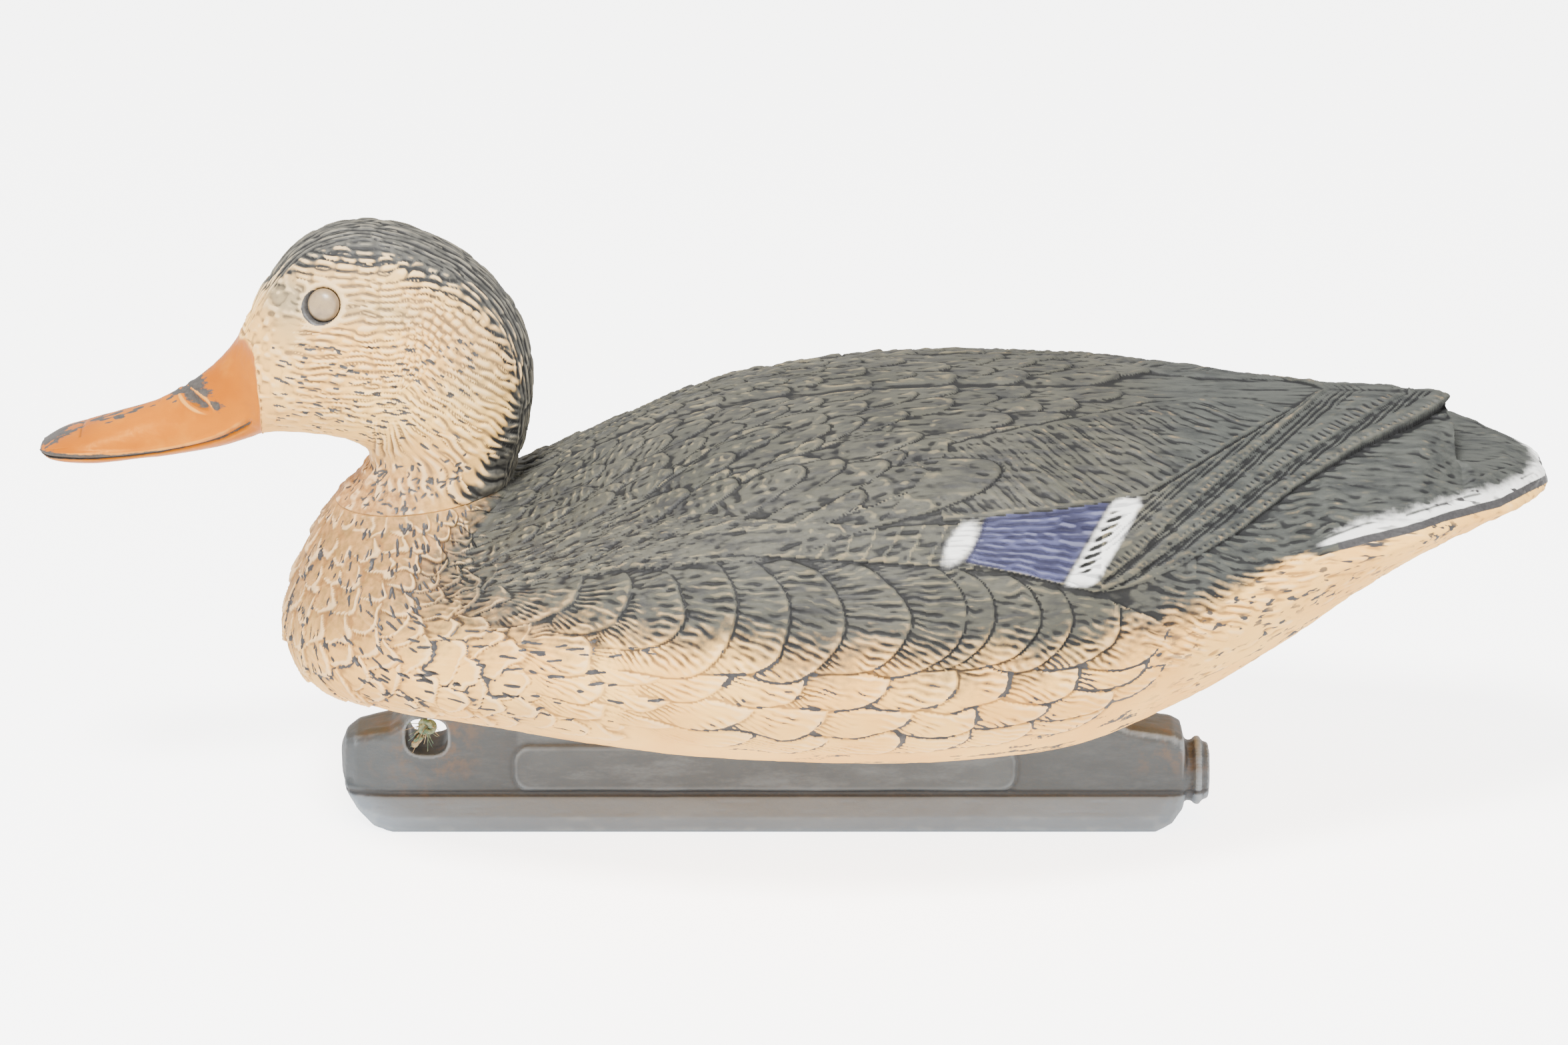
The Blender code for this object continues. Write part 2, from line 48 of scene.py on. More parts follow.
BODY_STATIONS = (
    (-76.6, 100.4, -124.2, 94.6, 24.0, 0.50, 2.0, 2.0),
    (-76.2, 100.0, -129.6, 85.6, 28.0, 0.50, 2.0, 2.0),
    (-75.6, 99.8, -134.2, 75.6, 33.0, 0.47, 1.9, 2.0),
    (-74.4, 100.0, -138.0, 65.5, 39.0, 0.44, 1.7, 2.0),
    (-71.6, 100.8, -137.8, 56.0, 45.5, 0.40, 1.55, 2.1),
    (-66.0, 103.2, -130.6, 47.6, 53.5, 0.39, 1.48, 2.1),
    (-56.0, 107.6, -113.0, 43.0, 62.5, 0.39, 1.5, 2.1),
    (-40.0, 114.0, -85.0, 39.4, 71.5, 0.40, 1.68, 2.1),
    (-16.0, 120.4, -46.0, 34.0, 79.0, 0.40, 2.15, 2.1),
    (16.0, 124.2, -4.0, 30.2, 81.5, 0.40, 2.5, 2.1),
    (48.0, 125.4, 38.0, 29.4, 79.5, 0.42, 2.6, 2.1),
    (78.0, 125.4, 74.0, 32.4, 73.0, 0.44, 2.5, 2.1),
    (104.0, 125.0, 102.0, 42.0, 63.5, 0.45, 2.2, 2.0),
    (128.0, 124.8, 127.0, 56.0, 54.5, 0.46, 1.7, 2.0),
    (149.0, 124.6, 148.0, 68.6, 47.5, 0.44, 1.4, 1.6),
    (166.0, 124.2, 165.0, 78.4, 43.0, 0.42, 1.25, 1.35),
    (176.0, 122.0, 175.0, 84.2, 38.6, 0.40, 1.2, 1.3),
    (180.0, 109.0, 180.0, 87.0, 35.6, 0.50, 1.7, 1.3),
    (192.0, 105.4, 192.0, 93.8, 24.6, 0.52, 2.0, 1.4),
    (200.0, 102.6, 200.0, 97.8, 13.0, 0.50, 2.0, 1.7),
    (203.0, 101.2, 203.0, 99.2, 5.0, 0.50, 2.0, 2.0),
)
HEAD_STATIONS = (
    (-76.6, 100.4, -124.2, 94.6, 24.0, 0.50, 2.0, 2.0),
    (-74.4, 107.2, -117.6, 101.4, 21.4, 0.50, 2.0, 2.0),
    (-72.0, 115.0, -114.8, 106.2, 20.2, 0.50, 2.0, 2.0),
    (-70.8, 124.6, -116.0, 110.0, 20.2, 0.50, 2.0, 2.0),
    (-71.2, 135.6, -120.8, 112.2, 20.8, 0.48, 2.0, 2.0),
    (-75.0, 147.6, -126.0, 113.2, 21.2, 0.47, 2.0, 2.0),
    (-84.0, 159.0, -131.0, 113.6, 21.2, 0.46, 2.0, 2.0),
    (-98.0, 168.0, -135.4, 113.8, 20.8, 0.46, 2.0, 2.0),
    (-115.0, 171.6, -139.0, 113.8, 19.6, 0.46, 2.0, 2.0),
    (-130.2, 166.8, -141.8, 113.6, 17.4, 0.45, 2.0, 2.1),
    (-141.2, 154.2, -143.8, 113.2, 14.4, 0.44, 2.0, 2.2),
    (-149.6, 138.4, -146.0, 112.4, 11.4, 0.42, 1.9, 2.3),
    (-159.0, 128.8, -154.6, 109.8, 10.2, 0.36, 1.8, 2.4),
    (-170.6, 121.8, -167.6, 107.8, 9.9, 0.32, 1.8, 2.5),
    (-182.6, 117.6, -181.0, 106.4, 10.8, 0.34, 2.0, 2.5),
    (-192.6, 114.4, -191.6, 106.2, 11.2, 0.38, 2.1, 2.5),
    (-199.6, 111.4, -199.2, 106.8, 8.6, 0.42, 2.1, 2.4),
    (-203.0, 109.6, -203.0, 107.8, 3.6, 0.50, 2.0, 2.0),
)
SEAM_CENTRE = np.array((-100.4, 0.0, 97.5))
SEAM_TILT = math.radians(7.0)
SEAM_UP = np.array((-math.sin(SEAM_TILT), 0.0, math.cos(SEAM_TILT)))
SEAM_RADIUS = 24.0
EYE_PLACE = np.array((-124.3, -16.9, 153.8))
EYE_TURN = math.radians(14.0)
EYE_LIFT = math.radians(14.0)
HOLE_CENTRE = np.array((-100.6, 0.0, 27.2))
KNOT_CENTRE = np.array((-100.2, -11.8, 31.6))
CORD_ROUTE = (
    (-101.6, -11.4, 28.8),
    (-103.6, -10.6, 26.2),
    (-103.8, -7.6, 24.8),
    (-103.4, -3.0, 24.4),
    (-103.0, 3.0, 24.4),
    (-102.6, 8.2, 25.2),
    (-101.8, 11.2, 29.0),
    (-100.6, 10.9, 34.6),
    (-100.4, 7.2, 38.0),
    (-100.2, 1.0, 38.3),
    (-100.2, -5.0, 38.2),
    (-100.2, -9.8, 37.2),
    (-100.2, -11.4, 34.8),
)
HULL_GRID = (700, 380)  # rows along the loft and columns over its half
HEAD_GRID = (500, 180)
HULL_COLLAR = ((19.6, 0.0), (19.6, -5.0))  # rings that close the skin inside the neck: radius, lift
HEAD_COLLAR = ((19.0, 0.03), (19.0, -4.0))
FOOT_CREASE = 10.7  # height where the keel's flared foot meets its web
KEEL_VOXEL = 0.55
SIDE_VIEW = math.radians(20.0)  # the side is laid out as seen from this far above the level
BACK = np.array((1.0, 0.0, 0.0))

CAMERA_AIM = (-0.0028, 0.0866)  # x and z, in metres
CAMERA_REACH = 1.4
CAMERA_LENS = 118.5
PAPER_GLOW = 4.6  # as the camera sees the paper
PAPER_LIFT = 1.0  # as the paper lights the object
WORLD_LIGHT = 1.15
LAMPS = (  # name, place, size, power
    ("key", (-0.3, -0.8, 1.45), 0.4, 68.0),
    ("fill", (1.3, -1.3, 0.9), 1.2, 14.0),
)


# ---------------------------------------------------------------- small tools


def spline(rows, t):
    """Rows of numbers read as points of a Catmull-Rom curve at the places t."""
    table = np.array(rows, float)
    slopes = np.gradient(table, axis=0)
    i = np.clip(np.asarray(t).astype(int), 0, len(table) - 2)
    f = (np.asarray(t) - i)[:, None]
    return (
        (2 * f**3 - 3 * f**2 + 1) * table[i]
        + (f**3 - 2 * f**2 + f) * slopes[i]
        + (3 * f**2 - 2 * f**3) * table[i + 1]
        + (f**3 - f**2) * slopes[i + 1]
    )


def step(value, low, high):
    """0 below low, 1 above high and a smooth rise between."""
    t = np.clip((value - low) / (high - low), 0.0, 1.0)
    return t * t * (3 - 2 * t)


def hump(value, low, full, still, gone):
    """Rises smoothly from 0 to 1 between low and full, and falls again between still and gone."""
    return step(value, low, full) * (1 - step(value, still, gone))


def bell(offset, width):
    """1 in the middle, falling off smoothly to both sides."""
    return np.exp(-((offset / width) ** 2))


def ridge(phase, sharp=1.0):
    """A train of rounded ridges, one for each whole number, from 0 to 1 high."""
    return (0.5 + 0.5 * np.cos(2 * np.pi * phase)) ** sharp


def lattice(i, j, k, seed):
    """A repeatable number from 0 to 1 for each lattice point."""
    n = (i * 73856093) ^ (j * 19349663) ^ (k * 83492791) ^ (seed * 2654435761 & 0xFFFFFFFF)
    n = (n ^ (n >> 13)) * 1274126177 & 0xFFFFFFFF
    n = (n ^ (n >> 16)) * 2246822519 & 0xFFFFFFFF
    return ((n ^ (n >> 15)) & 0xFFFFFF) / float(0xFFFFFF)


def noise(points, size, seed, octaves=1, stretch=(1, 1, 1)):
    """Smooth noise from -1 to 1 with lumps of about this size, longer where the stretch is under 1."""
    points = points * np.array(stretch)
    total = np.zeros(points.shape[:-1])
    reach, weight = 0.0, 1.0
    for o in range(octaves):
        p = points / (size / 2**o) + 57.3 * (o + 1)
        cell = np.floor(p).astype(np.int64)
        f = p - cell
        f = f * f * (3 - 2 * f)
        value = np.zeros(points.shape[:-1])
        for di in (0, 1):
            for dj in (0, 1):
                for dk in (0, 1):
                    w = (
                        (f[..., 0] if di else 1 - f[..., 0])
                        * (f[..., 1] if dj else 1 - f[..., 1])
                        * (f[..., 2] if dk else 1 - f[..., 2])
                    )
                    at = cell + np.array((di, dj, dk))
                    value += w * lattice(at[..., 0], at[..., 1], at[..., 2], seed + o)
        total += weight * (2 * value - 1)
        reach += weight
        weight *= 0.5
    return total / reach


def over_surface(way, n):
    """The way laid flat on the surface whose normal is n, and the way across it, as unit vectors."""
    way = way - n * (way @ n)
    way = way / (np.linalg.norm(way) + 1e-9)
    return way, np.cross(n, way)


def linear(code):
    """A colour's linear values from its usual six-figure name."""
    parts = [int(code[i : i + 2], 16) / 255 for i in (1, 3, 5)]
    return tuple(c / 12.92 if c <= 0.04045 else ((c + 0.055) / 1.055) ** 2.4 for c in parts)


def placed(name, data):
    """A new object in the scene."""
    made = bpy.data.objects.new(name, data)
    bpy.context.scene.collection.objects.link(made)
    return made


def point_values(mesh, key, values):
    """One number for each vertex, for the material to read."""
    made = mesh.attributes.new(key, "FLOAT", "POINT")
    made.data.foreach_set("value", values.astype(np.float32))


# ---------------------------------------------------------------- a skin: a fine grid over one loft


class Skin:
    """A fine grid over the lofted surface, sculpted on one half and mirrored as in a two-part mould.

    A row is one section, at the station s, and a column goes round it, at b degrees from the back line.
    """

    def __init__(self, stations, rows, columns, under=0.45):
        along = np.linspace(0, len(stations) - 1, 60 * len(stations))
        fine = spline(stations, along)
        turns = np.radians((10, 50, 80, 110, 150, 178))
        ring = self.section(fine, np.broadcast_to(turns, (len(fine), 6)))
        gap = np.linalg.norm(np.diff(ring, axis=0), axis=2)
        gap = 0.5 * gap.mean(1) + 0.5 * gap.max(1)
        reach = np.concatenate(([0.0], np.cumsum(gap)))
        self.s = np.interp(np.linspace(0, reach[-1], rows), reach, along)
        table = spline(stations, self.s)
        # columns share each section's length evenly, closer on the sides and back than underneath
        around = np.linspace(0, np.pi, 721)
        ring = self.section(table, np.broadcast_to(around, (rows, 721)))
        gap = np.linalg.norm(np.diff(ring, axis=1), axis=2)
        middle = np.degrees((around[1:] + around[:-1]) / 2)
        gap = gap * np.interp(middle, (0, 100, 135, 180), (1, 1, under, under)) + 1e-6
        reach = np.concatenate((np.zeros((rows, 1)), np.cumsum(gap, axis=1)), axis=1)
        share = np.linspace(0, 1, columns + 1)
        half = np.stack([np.interp(share * r[-1], r, around) for r in reach])
        full = np.concatenate((half, 2 * np.pi - half[:, -2:0:-1]), axis=1)
        self.rows, self.columns = rows, columns
        self.all = self.section(table, full)
        self.read_half()
        self.b = np.degrees(half)
        self.grid_s = np.broadcast_to(self.s[:, None], self.b.shape)
        self.row_gap = np.linalg.norm(np.diff(self.p, axis=0), axis=2)
        self.row_gap = np.concatenate((self.row_gap, self.row_gap[-1:]))
        self.column_gap = np.linalg.norm(np.diff(self.p, axis=1), axis=2)
        self.column_gap = np.concatenate((self.column_gap, self.column_gap[:, -1:]), axis=1)
        # height of the relief, closeness to a feather's edge, each feather's own tone, bare nicks
        self.h, self.rim, self.tone, self.fleck = (np.zeros(self.b.shape) for _ in range(4))
        self.paint = {}

    def read_half(self):
        """Normals of the whole grid, and the half that is sculpted with its side layout."""
        self.normals = self.grid_normals(self.all)
        left = np.concatenate(([0], np.arange(2 * self.columns - 1, self.columns - 1, -1)))
        self.p, self.n = self.all[:, left], self.normals[:, left]
        self.x, self.y, self.z = self.p[..., 0], self.p[..., 1], self.p[..., 2]
        self.v = self.y * math.sin(SIDE_VIEW) + self.z * math.cos(SIDE_VIEW)

    @staticmethod
    def section(table, angle):
        """Points round each section, from its row of numbers and the angles."""
        r = table[:, None, :]
        lift, turn = np.cos(angle), np.sin(angle)
        full = np.where(lift > 0, r[..., 6], r[..., 7])
        share = np.where(lift > 0, 1 - r[..., 5], r[..., 5])
        side = np.sign(turn) * np.abs(turn) ** (2 / full) * r[..., 4]
        at = r[..., 5] + np.sign(lift) * np.abs(lift) ** (2 / full) * share
        x = r[..., 2] + (r[..., 0] - r[..., 2]) * at
        z = r[..., 3] + (r[..., 1] - r[..., 3]) * at
        return np.stack((x, side, z), axis=-1)

    @staticmethod
    def grid_normals(p):
        along = np.gradient(p, axis=0)
        round_it = np.roll(p, -1, axis=1) - np.roll(p, 1, axis=1)
        n = np.cross(round_it, along)
        n /= np.linalg.norm(n, axis=2, keepdims=True) + 1e-12
        middle = p.mean(axis=1, keepdims=True)
        if (n * (p - middle)).sum() < 0:
            n = -n
        return n

    def at(self, s, b):
        """The grid's nearest row and column to a place on the loft."""
        i = int(np.argmin(np.abs(self.s - s)))
        return i, int(np.argmin(np.abs(self.b[i] - b)))

    def at_side(self, x, v):
        """The grid's nearest row and column to a place in the side layout."""
        near = (self.x - x) ** 2 + (self.v - v) ** 2 + np.where(self.b > 125, 1e6, 0)
        return np.unravel_index(int(np.argmin(near)), near.shape)

    def axes(self, i, k, angle):
        """Unit vectors along and across a feather whose way is angle above straight back."""
        n = self.n[i, k]
        t = over_surface(BACK, n)[0]
        up = np.cross(t, n)
        if up[2] < 0 or (abs(up[2]) < 0.2 and up[1] < 0):
            up = -up
        a = math.radians(angle)
        way = t * math.cos(a) + up * math.sin(a)
        return way, np.cross(n, way), n

    def window(self, i, k, reach):
        """The rows and columns that a thing of this reach can touch."""
        di = int(min(160, 1.7 * reach / max(self.row_gap[i, k], 0.12))) + 3
        dk = int(min(160, 1.7 * reach / max(self.column_gap[i, k], 0.12))) + 3
        return (
            slice(max(0, i - di), min(self.rows, i + di + 1)),
            slice(max(0, k - dk), min(self.columns + 1, k + dk + 1)),
        )

    def near(self, i, k, way, across, n, reach):
        """The window, lengths along and across in it, and what faces the same way."""
        box = self.window(i, k, reach)
        d = self.p[box] - self.p[i, k]
        facing = self.n[box] @ n > 0.15
        return box, d @ way, d @ across, facing & (np.abs(d @ n) < 0.75 * reach + 2)

    def feather(
        self, i, k, angle, length, width, high, round_tip=2.0, low=0.25,
        barbs=None, bend=0.0, way=None, edge=0.45, tone=0.0, inside=None,
        ragged=0.05, lip=0.0,
    ):
        """Lay one feather over what is there, its middle at the grid place, pointing along its way."""
        if way is None:
            way, across, n = self.axes(i, k, angle)
        else:
            n = self.n[i, k]
            way, across = over_surface(way, n)
        box, l, w, facing = self.near(i, k, way, across, n, 0.62 * max(length, width) + 1)
        p = self.p[box]
        l = l + length / 2
        w = w - bend * ((l / length) ** 2 - 0.25) * length
        u = l / length
        ahead = np.clip((l - 0.42 * length) / (0.58 * length), 0, None)
        rho = (np.abs(w / (width / 2)) ** round_tip + ahead**round_tip) ** (1 / round_tip)
        rho = rho * (1 + ragged * noise(p, 0.4 * width, 12))
        mine = facing & (rho < 1) & (l > 0)
        if inside is not None:
            mine &= inside[box]
        to_edge = (1 - rho) * width / 2
        value = high * (low + (1 - low) * np.clip(u, 0, 1) ** 0.8)
        value = value * (1 - 0.3 * np.clip(np.abs(w) / (width / 2), 0, 1) ** 2)
        value = value + lip * bell(to_edge - 0.55, 0.4) * step(u, 0.25, 0.6)
        if barbs is not None:
            kind, pitch, deep = barbs
            warp = 0.45 * noise(p, 4.0, 11) + 0.12 * noise(p, 1.5, 13)
            if kind == "fan":
                spread = np.arctan2(w, l + 0.25 * length) * (0.9 * length)
                phase = spread / pitch
            elif kind == "along":
                phase = w / pitch
            else:  # level
                phase = (p[..., 2] + 0.35 * np.abs(p[..., 1]) + 0.12 * p[..., 0]) / pitch
            uneven = noise(p, 2.6, 14, stretch=(0.5, 1, 1))
            strength = deep * np.clip(0.75 + 0.9 * uneven, 0.1, 1.5)
            value = value + strength * (ridge(phase + warp, 1.2) - 0.5) * step(to_edge, 0.1, 1.2)
        value = value * (0.35 + 0.65 * step(to_edge, 0.0, edge))
        root = step(u, 0.0, 0.3)
        self.h[box] = np.where(mine, value * root + self.h[box] * (1 - root), self.h[box])
        self.rim[box] = np.where(mine, 1 - step(to_edge, 0.3, 1.3), self.rim[box])
        self.tone[box] = np.where(mine, tone, self.tone[box])

    def stroke(self, i, k, way, length, width, high, bend=0.0):
        """One short rounded ridge, standing out of what is there."""
        n = self.n[i, k]
        way, across = over_surface(way, n)
        box, l, w, facing = self.near(i, k, way, across, n, 0.55 * length + width)
        w = w - bend * l * l / max(length, 1.0)
        taper = np.clip(1 - (2 * l / length) ** 2, 0, 1) ** 0.6
        value = high * taper * np.clip(1 - (2 * w / width) ** 2, 0, 1)
        self.h[box] = np.where(facing, np.maximum(self.h[box], value), self.h[box])

    def blur(self, field, size):
        """A soft copy of a field on the half grid."""
        reach = max(1, int(round(2 * size)))
        kernel = np.exp(-0.5 * (np.arange(-reach, reach + 1) / size) ** 2)
        kernel /= kernel.sum()
        wide = np.pad(field, ((reach, reach), (0, 0)), mode="edge")
        field = sum(k * wide[m : m + field.shape[0]] for m, k in enumerate(kernel))
        wide = np.pad(field, ((0, 0), (reach, reach)), mode="reflect")
        return sum(k * wide[:, m : m + field.shape[1]] for m, k in enumerate(kernel))

    def mirrored(self, field):
        return np.concatenate((field, field[:, -2:0:-1]), axis=1)

    def build(self, name, collars, material, body, replaced):
        """The displaced grid as one closed mesh, with its collar rings at the neck and a hub at the tip."""
        count = 2 * self.columns
        p = self.all + self.normals * self.mirrored(self.h)[..., None]
        first = p[0]
        rings = [
            SEAM_CENTRE + (first - SEAM_CENTRE) * (radius / SEAM_RADIUS) + SEAM_UP * lift
            for radius, lift in collars
        ]
        grid = np.concatenate((np.array(rings[::-1]), p))
        total = len(grid)
        hubs = np.array((grid[0].mean(0), grid[-1].mean(0)))
        points = np.concatenate((grid.reshape(-1, 3), hubs)) * MM
        j = np.arange(count)
        nxt = (j + 1) % count
        base = (np.arange(total - 1) * count)[:, None]
        quads = np.stack((base + j, base + nxt, base + count + nxt, base + count + j), axis=-1)
        quads = quads.reshape(-1, 4)
        end = total * count
        start_fan = np.stack((np.full(count, end), nxt, j), axis=-1)
        last = (total - 1) * count
        end_fan = np.stack((np.full(count, end + 1), last + j, last + nxt), axis=-1)
        a, b, c = points[quads[:, 0]], points[quads[:, 1]], points[quads[:, 3]]
        outward = np.cross(b - a, c - a)
        middle = p.mean(axis=1)
        middle = np.concatenate((middle[:1].repeat(len(rings), 0), middle))
        centre = np.repeat(middle[:-1], count, 0) * MM
        if (outward * (a - centre)).sum() < 0:
            quads, start_fan, end_fan = (side[:, ::-1] for side in (quads, start_fan, end_fan))
        loops = np.concatenate((quads.ravel(), start_fan.ravel(), end_fan.ravel()))
        sizes = np.concatenate((np.full(len(quads), 4), np.full(2 * count, 3)))
        mesh = bpy.data.meshes.new(name)
        mesh.vertices.add(len(points))
        mesh.vertices.foreach_set("co", points.astype(np.float32).ravel())
        mesh.loops.add(len(loops))
        mesh.loops.foreach_set("vertex_index", loops.astype(np.int32))
        mesh.polygons.add(len(sizes))
        starts = np.concatenate(([0], np.cumsum(sizes)[:-1]))
        mesh.polygons.foreach_set("loop_start", starts.astype(np.int32))
        mesh.polygons.foreach_set("loop_total", sizes.astype(np.int32))
        mesh.update(calc_edges=True)
        mesh.validate()
        for key, field in self.paint.items():
            whole = self.mirrored(field)
            extra = np.repeat(whole[:1], len(rings), axis=0)
            ends = (whole[0].mean(), whole[-1].mean())
            point_values(mesh, key, np.concatenate((extra.ravel(), whole.ravel(), ends)))
        mesh.shade_smooth()
        mesh.materials.append(material)
        piece = placed(name, mesh)
        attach(piece, body)
        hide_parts(replaced)
        return piece

    def spots(self, rng, s_from, s_to, size, first_b, last_b, ratio):
        """Places in staggered rows over part of the surface: grid row, column and feather size."""
        found, s, odd = [], s_from, 0
        while s > s_to:
            i = int(np.argmin(np.abs(self.s - s)))
            wide = size(s)
            reach = np.concatenate(([0], np.cumsum(self.column_gap[i, :-1])))
            place = 0.5 * wide * odd
            while place < reach[-1]:
                k = min(int(np.searchsorted(reach, place)), self.columns)
                if first_b(s) <= self.b[i, k] <= last_b(s):
                    found.append((int(np.clip(i + rng.normal(0, 1.5), 3, self.rows - 4)), k, wide))
                place += wide * rng.uniform(0.86, 1.06)
            odd = 1 - odd
            j, walked = i, 0.0
            low, high = np.searchsorted(self.b[i], (first_b(s), last_b(s)))
            while j > 1 and walked < wide * ratio:
                walked += np.percentile(self.row_gap[j, low : max(high, low + 2)], 60)
                j -= 1
            s = self.s[j] if j > 1 else -1.0
        return found

    def nick(self, i, k, way, length, width, deep):
        """A short groove whose floor shows the dark plastic."""
        n = self.n[i, k]
        way, across = over_surface(way, n)
        box, l, w, facing = self.near(i, k, way, across, n, 0.6 * length + 1)
        taper = np.clip(1 - (2 * l / length) ** 2, 0, 1) ** 0.5
        shape = np.where(facing, taper * np.clip(1 - (2 * w / width) ** 2, 0, 1), 0)
        self.h[box] -= deep * shape
        self.fleck[box] = np.maximum(self.fleck[box], shape)

    def reshape(self, shift):
        """Move the whole grid by shift, given on the half grid and the same on both sides."""
        self.all = self.all + self.mirrored(shift)
        self.read_half()


# ---------------------------------------------------------------- materials


class Shader:
    """A short way to write one material's nodes."""

    def __init__(self, name):
        self.material = bpy.data.materials.new(name)
        self.material.use_nodes = True
        tree = self.material.node_tree
        self.nodes, self.links = tree.nodes, tree.links
        self.bsdf = self.nodes["Principled BSDF"]
        self.place = self.add("ShaderNodeTexCoord").outputs["Object"]

    def add(self, kind, **settings):
        node = self.nodes.new(kind)
        for key, value in settings.items():
            setattr(node, key, value)
        return node

    def put(self, socket, value):
        if isinstance(value, bpy.types.NodeSocket):
            self.links.new(value, socket)
        elif isinstance(value, tuple) and len(value) == 3 and socket.type == "RGBA":
            socket.default_value = (*value, 1.0)
        else:
            socket.default_value = value

    def attribute(self, name):
        return self.add("ShaderNodeAttribute", attribute_name=name).outputs["Fac"]

    def stretched(self, scale):
        node = self.add("ShaderNodeMapping")
        self.links.new(self.place, node.inputs["Vector"])
        node.inputs["Scale"].default_value = scale
        return node.outputs["Vector"]

    def noise(self, scale, detail=2.0, rough=0.5, vector=None, warp=0.0):
        node = self.add("ShaderNodeTexNoise")
        self.links.new(vector or self.place, node.inputs["Vector"])
        node.inputs["Scale"].default_value = scale
        node.inputs["Detail"].default_value = detail
        node.inputs["Roughness"].default_value = rough
        node.inputs["Distortion"].default_value = warp
        return node.outputs["Fac"]

    def sum(self, kind, a, b=0.0):
        node = self.add("ShaderNodeMath", operation=kind)
        self.put(node.inputs[0], a)
        self.put(node.inputs[1], b)
        return node.outputs[0]

    def rise(self, value, low, high, bottom=0.0, top=1.0):
        node = self.add("ShaderNodeMapRange", interpolation_type="SMOOTHSTEP")
        self.put(node.inputs["Value"], value)
        node.inputs["From Min"].default_value = low
        node.inputs["From Max"].default_value = high
        node.inputs["To Min"].default_value = bottom
        node.inputs["To Max"].default_value = top
        return node.outputs["Result"]

    def mix(self, share, a, b, blend="MIX"):
        node = self.add("ShaderNodeMix", data_type="RGBA", blend_type=blend)
        self.put(node.inputs[0], share)
        self.put(node.inputs[6], a)
        self.put(node.inputs[7], b)
        return node.outputs[2]

    def shade(self, mask, low, high, colour, code, most=1.0):
        """The colour turned towards another, by most at the most, as the mask goes from low to high."""
        return self.mix(self.rise(mask, low, high, 0.0, most), colour, linear(code))

    def between(self, mask, low, high, first, second):
        """One colour where the mask is low and another where it is high."""
        return self.mix(self.rise(mask, low, high), linear(first), linear(second))

    def plus(self, value, more, much):
        """The value with this much of another added, or taken off where much is negative."""
        return self.sum("ADD", value, self.sum("MULTIPLY", more, much))

    def roughened(self, value, grain, much):
        """The value with grain added, so that an edge drawn through it frays."""
        return self.plus(value, self.sum("SUBTRACT", grain, 0.5), much)

    def bump(self, height, distance, strength=1.0, normal=None):
        node = self.add("ShaderNodeBump")
        self.put(node.inputs["Height"], height)
        node.inputs["Distance"].default_value = distance
        node.inputs["Strength"].default_value = strength
        if normal is not None:
            self.links.new(normal, node.inputs["Normal"])
        return node.outputs["Normal"]

    def finish(self, colour, roughness, normal=None, **more):
        self.put(self.bsdf.inputs["Base Color"], colour)
        self.put(self.bsdf.inputs["Roughness"], roughness)
        if normal is not None:
            self.links.new(normal, self.bsdf.inputs["Normal"])
        for key, value in more.items():
            self.put(self.bsdf.inputs[key.replace("_", " ")], value)
        return self.material

    def painted(self, colour, roughness, grain, bump, **more):
        """The finish of dull paint, a little rougher and smoother with the grain."""
        roughness = self.sum("ADD", roughness, self.rise(grain, 0.3, 0.7, -0.05, 0.06))
        return self.finish(colour, roughness, bump, Specular_IOR_Level=0.3, **more)


